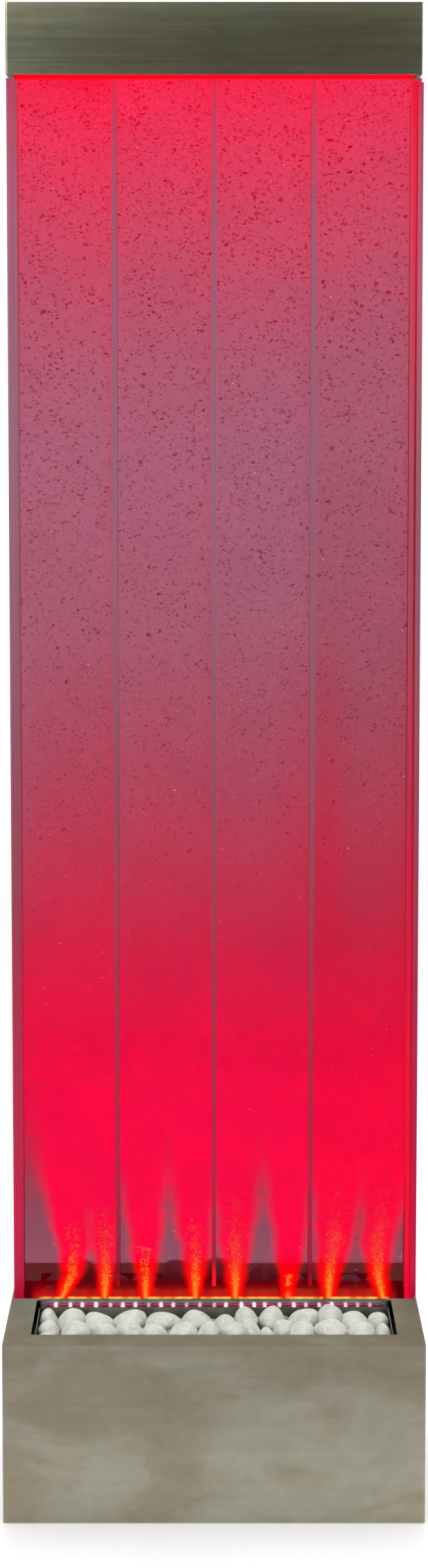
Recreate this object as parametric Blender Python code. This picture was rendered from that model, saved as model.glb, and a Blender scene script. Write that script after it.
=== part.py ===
# Bubble wall water fountain: a floor-standing acrylic water panel with rising
# air bubbles and LED light, on a steel base with two pebble trays, under a steel cap.
# Units are metres.  X is right, -Y is the front, +Z is up, the floor is z = 0.

import bmesh
import bpy
import math
from mathutils import Matrix, Vector

# ---------------------------------------------------------------- sizes
GAP = 0.0003            # fitting gap between pieces that rest on each other
SHEET = 0.0015          # steel sheet

BASE_W = 0.508
BASE_D = 0.360
SKIRT_BOTTOM = 0.001    # the housing's walls hide the feet
BASE_BOTTOM = 0.003     # underside of the pan, on its feet
BASE_TOP = 0.219
BASE_CORNER = 0.0025

OPEN_HALF_W = 0.222     # half width of both pebble openings
FRONT_OPEN_Y = (-0.1334, 0.0110)
REAR_OPEN_Y = (0.0640, 0.1334)

DECK_TOP = 0.150
DECK_HALF_W = 0.2495
DECK_Y = (-0.165, 0.160)
DECK_T = 0.002
PAN_TOP = 0.0048        # what stands on the bottom pan starts here
VENT_COUNT = 7

TRAY_HALF_W = 0.2185
TRAY_Z = (0.1503, 0.2120)
TRAY_WALL = 0.001
FRONT_BED_TOP = 0.199   # small stones below this height are one closed bed
REAR_BED_TOP = 0.2105   # the rear tray is heaped
STONE_HALF_H = 0.0175
FRONT_TRAY_Y = (-0.1297, 0.0020)
REAR_TRAY_Y = (0.0680, 0.1297)

TANK_HALF_W = 0.251
TANK_FRONT = 0.011
TANK_REAR = 0.061
TANK_MID = 0.036
TANK_SHEET = 0.006
TANK_Z0 = 0.2193
TANK_SHOULDER = 1.7292
TANK_TOP = 1.785
NECK_HALF_W = 0.2430
SIDE_BAR = 0.012
DIVIDER_T = 0.005
DIVIDER_X = (-0.12075, 0.0, 0.12075)
BOTTOM_BAR_TOP = 0.2313
DIVIDER_TOP = 1.755
PIPE_HOLE_R = 0.0062    # holes for the nozzles and the drain hose
RISER_HOLE_R = 0.0072

NOZZLE_X = (-0.188, -0.137, -0.088, -0.022, 0.026, 0.090, 0.1414, 0.210)
DRAIN_X = -0.2080
DRAIN_VALVE_X = -0.160
AIR_IN_X = 0.120

BEAM_HALF_W = 0.218
BEAM_Y = (0.0113, 0.0607)
BEAM_Z = (0.1503, 0.2172)

CAP_HALF_W = 0.245
CAP_Y = (-0.087, 0.159)
CAP_Z = (1.7255, 1.8090)
CAP_FLANGE = 0.004

LED_PITCH = 0.0164
LED_COUNT = 25

DOOR_X = (-0.201, 0.099)
DOOR_Z = (0.030, 0.140)
HINGE_X = -0.195
HINGE_Y = 0.1735

PANEL_X = (0.130, 0.240)
PANEL_Z = (0.050, 0.140)
PANEL_FLOOR_Y = 0.160
INLET_AT = (0.156, 0.118)
SWITCH_AT = (0.156, 0.070)
KNOB_AT = (0.212, 0.095)
VALVE_Y = 0.142

DRAIN_Z = 0.050
LEVER_Y = 0.134
ROCKER_Y = 0.160
ROCKER_TILT = math.radians(10)
PUMP_X = (-0.215, -0.075)
PUMP_Y = (-0.060, 0.030)
PUMP_OUT = (-0.015, 0.032)
PUMP_WALL = 0.0025

FOOT_AT = ((-0.215, -0.145), (0.215, -0.145), (-0.215, 0.145), (0.215, 0.145))

# Stones that show at the top of each tray: x, y, half width, top height.
FRONT_STONES = (
    (-0.2045, -0.028, 0.0115, 0.2170), (-0.1775, -0.034, 0.0178, 0.2205),
    (-0.1422, -0.033, 0.0200, 0.2145), (-0.1052, -0.033, 0.0210, 0.2180),
    (-0.0627, -0.034, 0.0238, 0.2160), (-0.0220, -0.033, 0.0205, 0.2160),
    (0.0133, -0.032, 0.0175, 0.2130), (0.0408, -0.033, 0.0145, 0.2195),
    (0.0720, -0.033, 0.0160, 0.2210), (0.1112, -0.034, 0.0190, 0.2205),
    (0.1430, -0.032, 0.0170, 0.2255), (0.1728, -0.034, 0.0195, 0.2165),
    (0.2035, -0.033, 0.0128, 0.2175),
    (-0.2030, -0.070, 0.0132, 0.2165), (-0.2030, -0.108, 0.0132, 0.2135),
    (-0.1685, -0.094, 0.0190, 0.2230), (-0.1347, -0.096, 0.0175, 0.2225),
    (-0.1023, -0.094, 0.0180, 0.2235), (-0.0726, -0.096, 0.0160, 0.2215),
    (-0.0382, -0.095, 0.0190, 0.2210), (-0.0066, -0.094, 0.0142, 0.2230),
    (0.0232, -0.096, 0.0172, 0.2210), (0.0440, -0.094, 0.0140, 0.2225),
    (0.0650, -0.100, 0.0120, 0.2165), (0.0847, -0.092, 0.0120, 0.2235),
    (0.1057, -0.096, 0.0180, 0.2225), (0.1429, -0.094, 0.0205, 0.2235),
    (0.1800, -0.096, 0.0170, 0.2225), (0.2055, -0.095, 0.0112, 0.2205),
)
REAR_STONES = (
    (-0.2035, 0.097, 0.0125, 0.2290), (-0.1655, 0.098, 0.0185, 0.2420),
    (-0.1265, 0.097, 0.0195, 0.2280), (-0.0870, 0.100, 0.0195, 0.2265),
    (-0.0470, 0.098, 0.0190, 0.2425), (0.0010, 0.098, 0.0190, 0.2435),
    (0.0340, 0.096, 0.0150, 0.2290), (0.0640, 0.099, 0.0175, 0.2370),
    (0.1000, 0.098, 0.0190, 0.2260), (0.1385, 0.099, 0.0195, 0.2310),
    (0.1755, 0.098, 0.0180, 0.2265), (0.2035, 0.098, 0.0125, 0.2235),
)

for old in list(bpy.data.objects):
    bpy.data.objects.remove(old, do_unlink=True)


# ---------------------------------------------------------------- materials
def make_material(name, colour, metallic, roughness, alpha=1.0, glow=None):
    mat = bpy.data.materials.new(name)
    mat.use_nodes = True
    shader = mat.node_tree.nodes["Principled BSDF"]
    shader.inputs["Base Color"].default_value = (colour[0], colour[1], colour[2], 1.0)
    shader.inputs["Metallic"].default_value = metallic
    shader.inputs["Roughness"].default_value = roughness
    shader.inputs["Alpha"].default_value = alpha
    if glow is not None:
        shader.inputs["Emission Color"].default_value = (glow[0], glow[1], glow[2], 1.0)
        shader.inputs["Emission Strength"].default_value = 1.0
    return mat


STEEL = make_material("steel", (0.46, 0.45, 0.40), 1.0, 0.38)
DARK_STEEL = make_material("dark_steel", (0.20, 0.20, 0.18), 1.0, 0.42)
INNER_STEEL = make_material("inner_steel", (0.55, 0.56, 0.56), 1.0, 0.45)
ACRYLIC = make_material("acrylic", (0.88, 0.80, 0.84), 0.0, 0.06, 0.35)
OPAL = make_material("opal", (0.95, 0.20, 0.22), 0.0, 0.35, 1.0, (0.9, 0.02, 0.04))
LED = make_material("led", (0.95, 0.75, 0.80), 0.0, 0.30, 1.0, (1.0, 0.25, 0.35))
ALUMINIUM = make_material("aluminium", (0.72, 0.73, 0.74), 1.0, 0.35)
STONE = make_material("stone", (0.62, 0.64, 0.60), 0.0, 0.45)
BLACK = make_material("black_plastic", (0.03, 0.03, 0.03), 0.0, 0.45)
WHITE = make_material("white_plastic", (0.80, 0.80, 0.78), 0.0, 0.40)
RUBBER = make_material("rubber", (0.03, 0.03, 0.03), 0.0, 0.80)
SILICONE = make_material("silicone", (0.78, 0.82, 0.82), 0.0, 0.30)
RIBBON = make_material("ribbon", (0.75, 0.74, 0.70), 0.0, 0.45)
BRASS = make_material("brass", (0.72, 0.55, 0.25), 1.0, 0.30)
RED_PLASTIC = make_material("red_plastic", (0.60, 0.03, 0.03), 0.0, 0.35)


# ---------------------------------------------------------------- helpers
AXES = {"x": Vector((1.0, 0.0, 0.0)), "y": Vector((0.0, 1.0, 0.0)), "z": Vector((0.0, 0.0, 1.0))}
ROUND_STEPS = 16        # sides of small round pieces
SMALL_STEPS = 12        # sides of bores and nozzles


def from_bmesh(name, bm, mat):
    bmesh.ops.recalc_face_normals(bm, faces=bm.faces)
    mesh = bpy.data.meshes.new(name)
    bm.to_mesh(mesh)
    bm.free()
    mesh.materials.append(mat)
    mesh.shade_smooth()
    mesh.set_sharp_from_angle(angle=math.radians(32))
    obj = bpy.data.objects.new(name, mesh)
    bpy.context.scene.collection.objects.link(obj)
    return obj


def on_axis(axis, p, q, along):
    """A point from two cross-section values and one along the axis.  The cross-section
    is (x, y) for axis z, (y, z) for axis x and (x, z) for axis y."""
    if axis == "z":
        return Vector((p, q, along))
    if axis == "x":
        return Vector((along, p, q))
    return Vector((p, along, q))


def prism(name, points, axis, low, high, mat):
    """A flat outline extruded along one axis."""
    bm = bmesh.new()
    face = bm.faces.new([bm.verts.new(on_axis(axis, p, q, low)) for p, q in points])
    grown = bmesh.ops.extrude_face_region(bm, geom=[face], use_keep_orig=True)
    moved = [item for item in grown["geom"] if isinstance(item, bmesh.types.BMVert)]
    bmesh.ops.translate(bm, verts=moved, vec=AXES[axis] * (high - low))
    return from_bmesh(name, bm, mat)


def rect(a0, a1, b0, b1):
    return [(a0, b0), (a1, b0), (a1, b1), (a0, b1)]


def round_rect(a0, a1, b0, b1, radius, steps=3):
    points = []
    corners = ((a1 - radius, b1 - radius, 0), (a0 + radius, b1 - radius, 90),
               (a0 + radius, b0 + radius, 180), (a1 - radius, b0 + radius, 270))
    for ca, cb, start in corners:
        for i in range(steps + 1):
            turn = math.radians(start + 90.0 * i / steps)
            points.append((ca + radius * math.cos(turn), cb + radius * math.sin(turn)))
    return points


def circle(ca, cb, radius, steps):
    points = []
    for i in range(steps):
        turn = 2 * math.pi * (i + 0.5) / steps
        points.append((ca + radius * math.cos(turn), cb + radius * math.sin(turn)))
    return points


def box(name, x0, x1, y0, y1, z0, z1, mat=STEEL):
    return prism(name, rect(x0, x1, y0, y1), "z", z0, z1, mat)


def cyl(name, axis, at, radius, low, high, mat=STEEL, steps=ROUND_STEPS):
    """A round bar along one axis; at is the centre of its cross-section."""
    return prism(name, circle(at[0], at[1], radius, steps), axis, low, high, mat)


def revolve(name, profile, axis, at, mat, steps=ROUND_STEPS):
    """A (radius, along) outline spun about the line through at, parallel to the axis."""
    across = AXES["y"] if axis == "x" else AXES["x"]
    centre = on_axis(axis, at[0], at[1], 0.0)
    bm = bmesh.new()
    verts = []
    for radius, along in profile:
        verts.append(bm.verts.new(centre + across * radius + AXES[axis] * along))
    edges = []
    for i in range(len(verts)):
        j = (i + 1) % len(verts)
        if profile[i][0] > 0.0 or profile[j][0] > 0.0:
            edges.append(bm.edges.new((verts[i], verts[j])))
    bmesh.ops.spin(bm, geom=verts + edges, cent=centre, axis=AXES[axis],
                   angle=2 * math.pi, steps=steps, use_merge=True, use_duplicate=False)
    bmesh.ops.remove_doubles(bm, verts=bm.verts, dist=1e-6)
    return from_bmesh(name, bm, mat)


def combine(target, tool, operation):
    """Cuts or joins the tool into the target, then drops the tool."""
    mod = target.modifiers.new("op", "BOOLEAN")
    mod.operation = operation
    mod.solver = "EXACT"
    mod.object = tool
    bpy.context.view_layer.update()
    graph = bpy.context.evaluated_depsgraph_get()
    mesh = bpy.data.meshes.new_from_object(target.evaluated_get(graph))
    target.modifiers.clear()
    target.data = mesh
    bpy.data.objects.remove(tool, do_unlink=True)
    return target


def cut(target, *tools):
    for tool in tools:
        combine(target, tool, "DIFFERENCE")
    return target


def add(target, *tools):
    for tool in tools:
        combine(target, tool, "UNION")
    return target


def pivot(obj, point):
    """Puts an object's origin on its joint's axis without moving its surface."""
    obj.data.transform(Matrix.Translation(-Vector(point)))
    obj.location = point
    return obj


def bend(start, way_in, end, way_out, reach_in, reach_out, steps=12):
    """Points along one soft turn, both ends included.  The ways are the directions at the
    ends and the reaches say how long each one is held."""
    a = Vector(start)
    d = Vector(end)
    b = a + Vector(way_in).normalized() * reach_in
    c = d - Vector(way_out).normalized() * reach_out
    line = []
    for i in range(steps + 1):
        t = i / steps
        u = 1.0 - t
        line.append(a * u ** 3 + b * (3 * u * u * t) + c * (3 * u * t * t) + d * t ** 3)
    return line


def round_bar(name, line, radius, mat):
    """A bevelled curve with filled ends, turned into a mesh."""
    curve = bpy.data.curves.new(name, "CURVE")
    curve.dimensions = "3D"
    curve.bevel_depth = radius
    curve.bevel_resolution = 2
    curve.use_fill_caps = True
    spline = curve.splines.new("POLY")
    spline.points.add(len(line) - 1)
    for point, at in zip(spline.points, line):
        point.co = (at.x, at.y, at.z, 1.0)
    guide = bpy.data.objects.new(name + "_line", curve)
    bpy.context.scene.collection.objects.link(guide)
    bpy.context.view_layer.update()
    graph = bpy.context.evaluated_depsgraph_get()
    bm = bmesh.new()
    bm.from_mesh(bpy.data.meshes.new_from_object(guide.evaluated_get(graph)))
    bmesh.ops.remove_doubles(bm, verts=bm.verts, dist=1e-6)
    bpy.data.objects.remove(guide, do_unlink=True)
    return from_bmesh(name, bm, mat)


def hose(name, points, outer, inner, mat=SILICONE):
    """An open-ended tube that follows a line of points."""
    line = [Vector(p) for p in points]
    first = line[0] + (line[0] - line[1]).normalized() * 0.002
    last = line[-1] + (line[-1] - line[-2]).normalized() * 0.002
    tube = round_bar(name, line, outer, mat)
    return cut(tube, round_bar("tool", [first] + line[1:-1] + [last], inner, mat))


def stone(at, half_w, half_d, half_h, top, turn):
    """One pebble: a ball, stretched, turned about Z and set with its top at a height."""
    bm = bmesh.new()
    bmesh.ops.create_uvsphere(bm, u_segments=10, v_segments=6, radius=1.0)
    bmesh.ops.scale(bm, verts=bm.verts, vec=(half_w, half_d, half_h))
    bmesh.ops.rotate(bm, verts=bm.verts, matrix=Matrix.Rotation(turn, 3, "Z"))
    bmesh.ops.translate(bm, verts=bm.verts, vec=(at[0], at[1], top - half_h))
    return from_bmesh("stone_tool", bm, STONE)


# ---------------------------------------------------------------- steel base
def base_housing():
    half_w = BASE_W / 2
    half_d = BASE_D / 2
    body = prism("base_housing", round_rect(-half_w, half_w, -half_d, half_d, BASE_CORNER),
                 "z", SKIRT_BOTTOM, BASE_TOP, STEEL)
    cut(body, box("tool", -half_w + SHEET, half_w - SHEET, -half_d + SHEET, half_d - SHEET,
                  -0.01, BASE_TOP - SHEET))
    for y0, y1 in (FRONT_OPEN_Y, REAR_OPEN_Y):
        cut(body, box("tool", -OPEN_HALF_W, OPEN_HALF_W, y0, y1, 0.20, 0.23))
    door_hole = box("tool", HINGE_X - 0.0095, DOOR_X[1] + SHEET, 0.17, 0.19,
                    DOOR_Z[0] - SHEET, DOOR_Z[1] + SHEET)
    panel_hole = box("tool", PANEL_X[0] + 0.006, PANEL_X[1] - 0.006, 0.17, 0.19,
                     PANEL_Z[0] + 0.006, PANEL_Z[1] - 0.006)
    ribbon_slot = box("tool", 0.2509, 0.2524, 0.0325, 0.0475, 0.20, 0.23)
    cut(body, door_hole, panel_hole, ribbon_slot)
    for x in NOZZLE_X + (DRAIN_X,):
        cut(body, cyl("tool", "z", (x, TANK_MID), PIPE_HOLE_R, 0.21, 0.23,
                      STEEL, SMALL_STEPS))


def bottom_pan():
    body = box("bottom_pan", -0.2520, 0.2520, -0.1780, 0.1780, BASE_BOTTOM, 0.015,
               INNER_STEEL)
    cut(body, box("tool", -0.2505, 0.2505, -0.1765, 0.1765, BASE_BOTTOM + SHEET, 0.03))
    for at in FOOT_AT:
        cut(body, cyl("tool", "z", at, 0.0036, -0.01, 0.01, STEEL, SMALL_STEPS))
    for i in range(VENT_COUNT):
        x = -0.175 + 0.012 * i
        cut(body, box("tool", x, x + 0.005, 0.060, 0.100, -0.01, 0.01))


def feet():
    """Rubber feet: a disc under the pan, with a plug that snaps through its hole."""
    outline = [(0.0, 0.0), (0.0125, 0.0), (0.0140, 0.0010), (0.0140, 0.0027),
               (0.0032, 0.0027), (0.0032, 0.0048), (0.0046, 0.0050), (0.0028, 0.0085),
               (0.0, 0.0085)]
    for i, at in enumerate(FOOT_AT):
        revolve("foot_%d" % (i + 1), outline, "z", at, RUBBER)


def inner_frame():
    """A folded bridge inside the base that carries the trays and the tank."""
    w = DECK_HALF_W
    t = DECK_T
    outline = [(-w, PAN_TOP), (-w, DECK_TOP), (w, DECK_TOP), (w, PAN_TOP),
               (w - 0.012, PAN_TOP), (w - 0.012, PAN_TOP + t), (w - t, PAN_TOP + t),
               (w - t, DECK_TOP - t), (-w + t, DECK_TOP - t), (-w + t, PAN_TOP + t),
               (-w + 0.012, PAN_TOP + t), (-w + 0.012, PAN_TOP)]
    deck = prism("inner_frame", outline, "y", DECK_Y[0], DECK_Y[1], INNER_STEEL)
    cut(deck, cyl("tool", "z", (AIR_IN_X, TANK_MID), RISER_HOLE_R, 0.14, 0.16),
        cyl("tool", "z", (DRAIN_X, TANK_MID), PIPE_HOLE_R, 0.14, 0.16))


def tank_beam():
    """A square tube between the deck and the base's top, straight under the tank."""
    y0, y1 = BEAM_Y
    z0, z1 = BEAM_Z
    body = box("tank_beam", -BEAM_HALF_W, BEAM_HALF_W, y0, y1, z0, z1, INNER_STEEL)
    cut(body, box("tool", -0.3, 0.3, y0 + 0.002, y1 - 0.002, z0 + 0.002, z1 - 0.002),
        cyl("tool", "z", (AIR_IN_X, TANK_MID), RISER_HOLE_R, 0.14, 0.16),
        cyl("tool", "z", (DRAIN_X, TANK_MID), PIPE_HOLE_R, 0.14, 0.16))
    for x in NOZZLE_X + (DRAIN_X,):
        cut(body, cyl("tool", "z", (x, TANK_MID), PIPE_HOLE_R, 0.21, 0.23,
                      STEEL, SMALL_STEPS))


# ---------------------------------------------------------------- pebble trays
def tray(name, y0, y1):
    w = TRAY_HALF_W
    t = TRAY_WALL
    body = prism(name, round_rect(-w, w, y0, y1, 0.002), "z", TRAY_Z[0], TRAY_Z[1],
                 DARK_STEEL)
    cut(body, box("tool", -w + t, w - t, y0 + t, y1 - t, TRAY_Z[0] + t, 0.25))


def pebble_bed(name, stones, y0, y1, half_d, bed_top):
    """The stones that show, closed into one bed by the small ones under them."""
    inset = TRAY_WALL + 0.0012
    w = TRAY_HALF_W - inset
    bed = prism(name, round_rect(-w, w, y0 + inset, y1 - inset, 0.006), "z",
                TRAY_Z[0] + TRAY_WALL + GAP, bed_top, STONE)
    for i, (x, y, half_w, top) in enumerate(stones):
        turn = 0.0 if abs(x) > 0.19 else math.radians((-6, 5, 0, 7, -4)[i % 5])
        room = min(half_d, y1 - inset - y, y - y0 - inset)
        if abs(x) > 0.2 and y < -0.05:
            room = min(room, 0.019)
        add(bed, stone((x, y), half_w * 1.02, room, STONE_HALF_H, top, turn))


# ---------------------------------------------------------------- LED strips
def led_outline(half_w, back, face, tip):
    """A strip's edge seen from the front: a thin board with one bump per LED."""
    points = [(-half_w, back), (-half_w, face)]
    for i in range(LED_COUNT):
        x = (i - (LED_COUNT - 1) / 2) * LED_PITCH
        points += [(x - 0.0022, face), (x - 0.0014, tip), (x + 0.0014, tip),
                   (x + 0.0022, face)]
    return points + [(half_w, face), (half_w, back)]


def led_strips():
    low = [(0.0030, 0.2090), (0.0107, 0.2090), (0.0107, 0.2180), (0.0099, 0.2180),
           (0.0099, 0.2100), (0.0038, 0.2100), (0.0038, 0.2125), (0.0030, 0.2125)]
    prism("bottom_led_channel", low, "x", -0.2165, 0.2165, ALUMINIUM)
    prism("bottom_led_strip", led_outline(0.2140, 0.2103, 0.2108, 0.2136), "y",
          0.0046, 0.0091, LED)
    high = [(0.0240, 1.7970), (0.0252, 1.7970), (0.0252, 1.8060), (0.0468, 1.8060),
            (0.0468, 1.7970), (0.0480, 1.7970), (0.0480, 1.8072), (0.0240, 1.8072)]
    prism("top_led_channel", high, "x", -0.2350, 0.2350, ALUMINIUM)
    prism("top_led_strip", led_outline(0.2200, 1.8057, 1.8050, 1.8026), "y",
          0.0300, 0.0420, LED)


# ---------------------------------------------------------------- water tank
def tank():
    s = TANK_HALF_W
    n = NECK_HALF_W
    b = TANK_HALF_W - SIDE_BAR
    wall = [(-s, TANK_Z0), (s, TANK_Z0), (s, TANK_SHOULDER), (n, TANK_SHOULDER),
            (n, TANK_TOP), (-n, TANK_TOP), (-n, TANK_SHOULDER), (-s, TANK_SHOULDER)]
    prism("tank_front_sheet", wall, "y", TANK_FRONT, TANK_FRONT + TANK_SHEET, ACRYLIC)
    prism("tank_rear_sheet", wall, "y", TANK_REAR - TANK_SHEET, TANK_REAR, ACRYLIC)

    y0 = TANK_FRONT + TANK_SHEET + GAP
    y1 = TANK_REAR - TANK_SHEET - GAP
    for name, way in (("tank_side_left", -1.0), ("tank_side_right", 1.0)):
        side = [(way * b, TANK_Z0), (way * s, TANK_Z0), (way * s, TANK_SHOULDER),
                (way * n, TANK_SHOULDER), (way * n, TANK_TOP), (way * b, TANK_TOP)]
        prism(name, side, "y", y0, y1, ACRYLIC)
    for i, x in enumerate(DIVIDER_X):
        box("divider_%d" % (i + 1), x - DIVIDER_T / 2, x + DIVIDER_T / 2, y0, y1,
            BOTTOM_BAR_TOP + 0.004, DIVIDER_TOP, ACRYLIC)
    bar = box("tank_bottom_bar", -b + GAP, b - GAP, y0, y1, TANK_Z0, BOTTOM_BAR_TOP, ACRYLIC)
    for x in NOZZLE_X + (DRAIN_X,):
        cut(bar, cyl("tool", "z", (x, TANK_MID), 0.0056, 0.21, 0.24))


def cable_duct():
    """A thin channel up the tank's right edge, over the flat cable to the cap."""
    outline = [(0.2513, 0.0280), (0.2540, 0.0280), (0.2540, 0.0520), (0.2513, 0.0520),
               (0.2513, 0.0505), (0.2530, 0.0505), (0.2530, 0.0295), (0.2513, 0.0295)]
    prism("cable_duct", outline, "z", BASE_TOP + GAP, 1.7250, ALUMINIUM)
    box("led_ribbon", 0.2515, 0.2521, 0.0330, 0.0470, 0.1650, 1.7245, RIBBON)


# ---------------------------------------------------------------- air supply
def air_nozzles():
    outline = [(0.0030, 0.1920), (0.0050, 0.1920), (0.0050, 0.2335), (0.0030, 0.2375),
               (0.0012, 0.2375), (0.0012, 0.2335), (0.0030, 0.2315)]
    for i, x in enumerate(NOZZLE_X):
        revolve("air_nozzle_%d" % (i + 1), outline, "z", (x, TANK_MID), BRASS, SMALL_STEPS)


def air_manifold():
    """A square pipe inside the beam with one stub for each nozzle and one inlet below."""
    inlet = (AIR_IN_X, TANK_MID)
    body = box("air_manifold", -0.1985, 0.2150, 0.0285, 0.0435, 0.1640, 0.1840, BLACK)
    for x in NOZZLE_X:
        add(body, cyl("tool", "z", (x, TANK_MID), 0.0026, 0.1830, 0.1970, BLACK, SMALL_STEPS))
    add(body, cyl("tool", "z", inlet, 0.0026, 0.1380, 0.1650, BLACK, SMALL_STEPS))
    cut(body, box("tool", -0.1965, 0.2130, 0.0305, 0.0415, 0.1660, 0.1820))
    for x in NOZZLE_X:
        cut(body, cyl("tool", "z", (x, TANK_MID), 0.0014, 0.1810, 0.1980, BLACK, 8))
    cut(body, cyl("tool", "z", inlet, 0.0014, 0.1300, 0.1670, BLACK, 8))


def pump_shell(name, z0, z1, inner0, inner1, mat):
    (x0, x1), (y0, y1) = PUMP_X, PUMP_Y
    t = PUMP_WALL
    body = prism(name, round_rect(x0, x1, y0, y1, 0.014, 4), "z", z0, z1, mat)
    return cut(body, prism("tool", round_rect(x0 + t, x1 - t, y0 + t, y1 - t, 0.014 - t, 4),
                           "z", inner0, inner1, mat))


def air_pump():
    box("pump_mat", PUMP_X[0] - 0.004, PUMP_X[1] + 0.004, PUMP_Y[0] - 0.004,
        PUMP_Y[1] + 0.004, PAN_TOP, 0.0108, RUBBER)
    lower = pump_shell("air_pump_body", 0.0111, 0.0500, 0.0136, 0.06, WHITE)
    add(lower, cyl("tool", "x", PUMP_OUT, 0.0028, PUMP_X[1] - 0.002, PUMP_X[1] + 0.016, WHITE))
    cut(lower, cyl("tool", "x", PUMP_OUT, 0.0014, PUMP_X[1] - 0.006, PUMP_X[1] + 0.020,
                   WHITE, 8))
    upper = pump_shell("air_pump_cover", 0.0503, 0.0800, 0.04, 0.0775, BLACK)
    for i in range(6):
        y = -0.040 + 0.010 * i
        cut(upper, box("tool", -0.170, -0.120, y, y + 0.003, 0.07, 0.09))
    x = PUMP_X[1]
    y, z = PUMP_OUT
    # down from the pump, along the pan and up to the valve
    on_pan = (0.020, 0.060, PAN_TOP + 0.0048)
    along = (0.342, 0.940, 0.0)
    hose("pump_hose",
         [(x + 0.002, y, z), (x + 0.012, y, z)]
         + bend((x + 0.023, y, z), AXES["x"], on_pan, along, 0.040, 0.040)
         + bend(on_pan, along, (0.140, VALVE_Y, KNOB_AT[1]), AXES["x"], 0.080, 0.070)[1:]
         + [(0.149, VALVE_Y, KNOB_AT[1]), (0.159, VALVE_Y, KNOB_AT[1])], 0.0048, 0.0032)
    revolve("check_valve",
            [(0.0012, 0.1480), (0.0028, 0.1480), (0.0028, 0.1600), (0.0080, 0.1600),
             (0.0080, 0.1840), (0.0058, 0.1860), (0.0058, 0.1995), (0.0042, 0.1995),
             (0.0042, 0.1885), (0.0012, 0.1870)], "x", (VALVE_Y, KNOB_AT[1]), BLACK)


def flow_valve():
    """A needle valve behind the control plate; its knob turns on the rear stem."""
    x, z = KNOB_AT
    body = box("flow_valve_body", x - 0.011, x + 0.011, 0.1300, 0.1580, z - 0.011, z + 0.011,
               BLACK)
    add(body, cyl("tool", "x", (VALVE_Y, z), 0.0036, x - 0.022, x - 0.010, BLACK),
        cyl("tool", "y", KNOB_AT, 0.0026, 0.1140, 0.1310, BLACK, SMALL_STEPS),
        cyl("tool", "y", KNOB_AT, 0.0030, 0.1570, 0.1705, BLACK))
    cut(body, cyl("tool", "x", (VALVE_Y, z), 0.0016, x - 0.027, x, BLACK, 8),
        cyl("tool", "y", KNOB_AT, 0.0014, 0.1100, VALVE_Y, BLACK, 8))

    flutes = []
    for i in range(36):
        turn = 2 * math.pi * i / 36
        radius = 0.0112 + 0.0006 * math.cos(9 * turn)
        flutes.append((x + radius * math.sin(turn), z + radius * math.cos(turn)))
    knob = prism("flow_knob", flutes, "y", 0.1606, 0.1765, BLACK)
    pointer = box("tool", x - 0.0008, x + 0.0008, 0.1755, 0.19, z, z + 0.009)
    cut(knob, cyl("tool", "y", KNOB_AT, 0.0034, 0.1500, 0.1715), pointer)
    pivot(knob, (x, 0.1700, z))

    hose("riser_hose",
         [(x, 0.1285, z), (x, 0.1190, z)]
         + bend((x, 0.1100, z), -AXES["y"], (AIR_IN_X, TANK_MID, 0.1360), AXES["z"],
                0.065, 0.075, 20)
         + [(AIR_IN_X, TANK_MID, 0.1500), (AIR_IN_X, TANK_MID, 0.1632)], 0.0041, 0.0031)


# ---------------------------------------------------------------- drain
def drain():
    """A hose from the tank's lowest corner to a quarter-turn valve behind the door."""
    x = DRAIN_VALVE_X
    z = DRAIN_Z
    hose("drain_hose",
         [(DRAIN_X, TANK_MID, 0.2300), (DRAIN_X, TANK_MID, 0.1700)]
         + bend((DRAIN_X, TANK_MID, 0.1400), -AXES["z"], (x, 0.1000, z), AXES["y"],
                0.080, 0.040, 20)
         + [(x, 0.1080, z), (x, 0.1170, z)], 0.0049, 0.0032)
    body = cyl("drain_valve_body", "y", (x, z), 0.0090, 0.1180, 0.1500, BRASS)
    add(body, cyl("tool", "y", (x, z), 0.0028, 0.1060, 0.1190),
        cyl("tool", "y", (x, z), 0.0052, 0.1490, 0.1640),
        cyl("tool", "z", (x, LEVER_Y), 0.0030, z + 0.007, z + 0.0200),
        box("tool", x - 0.0065, x + 0.0065, 0.1250, 0.1430, PAN_TOP, z - 0.005))
    cut(body, cyl("tool", "y", (x, z), 0.0016, 0.1000, 0.1300, BRASS, 8),
        cyl("tool", "y", (x, z), 0.0030, 0.1400, 0.1700, BRASS, SMALL_STEPS))
    lever = cyl("drain_lever", "z", (x, LEVER_Y), 0.0065, z + 0.0095, z + 0.0180, RED_PLASTIC)
    add(lever, box("tool", x, x + 0.034, LEVER_Y - 0.004, LEVER_Y + 0.004,
                   z + 0.0120, z + 0.0160))
    cut(lever, cyl("tool", "z", (x, LEVER_Y), 0.0034, 0.0, 0.1))
    pivot(lever, (x, LEVER_Y, z + 0.0140))


# ---------------------------------------------------------------- electrics
def control_box():
    outline = round_rect(0.090, 0.200, -0.120, -0.040, 0.004)
    tub = prism("control_box", outline, "z", PAN_TOP, 0.0400, BLACK)
    cut(tub, box("tool", 0.092, 0.198, -0.118, -0.042, 0.0068, 0.05))
    for x in (0.120, 0.170):
        cut(tub, cyl("tool", "y", (x, 0.025), 0.0040, -0.05, -0.03, BLACK, SMALL_STEPS))
    prism("control_box_lid", outline, "z", 0.0403, 0.0428, BLACK)


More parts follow.
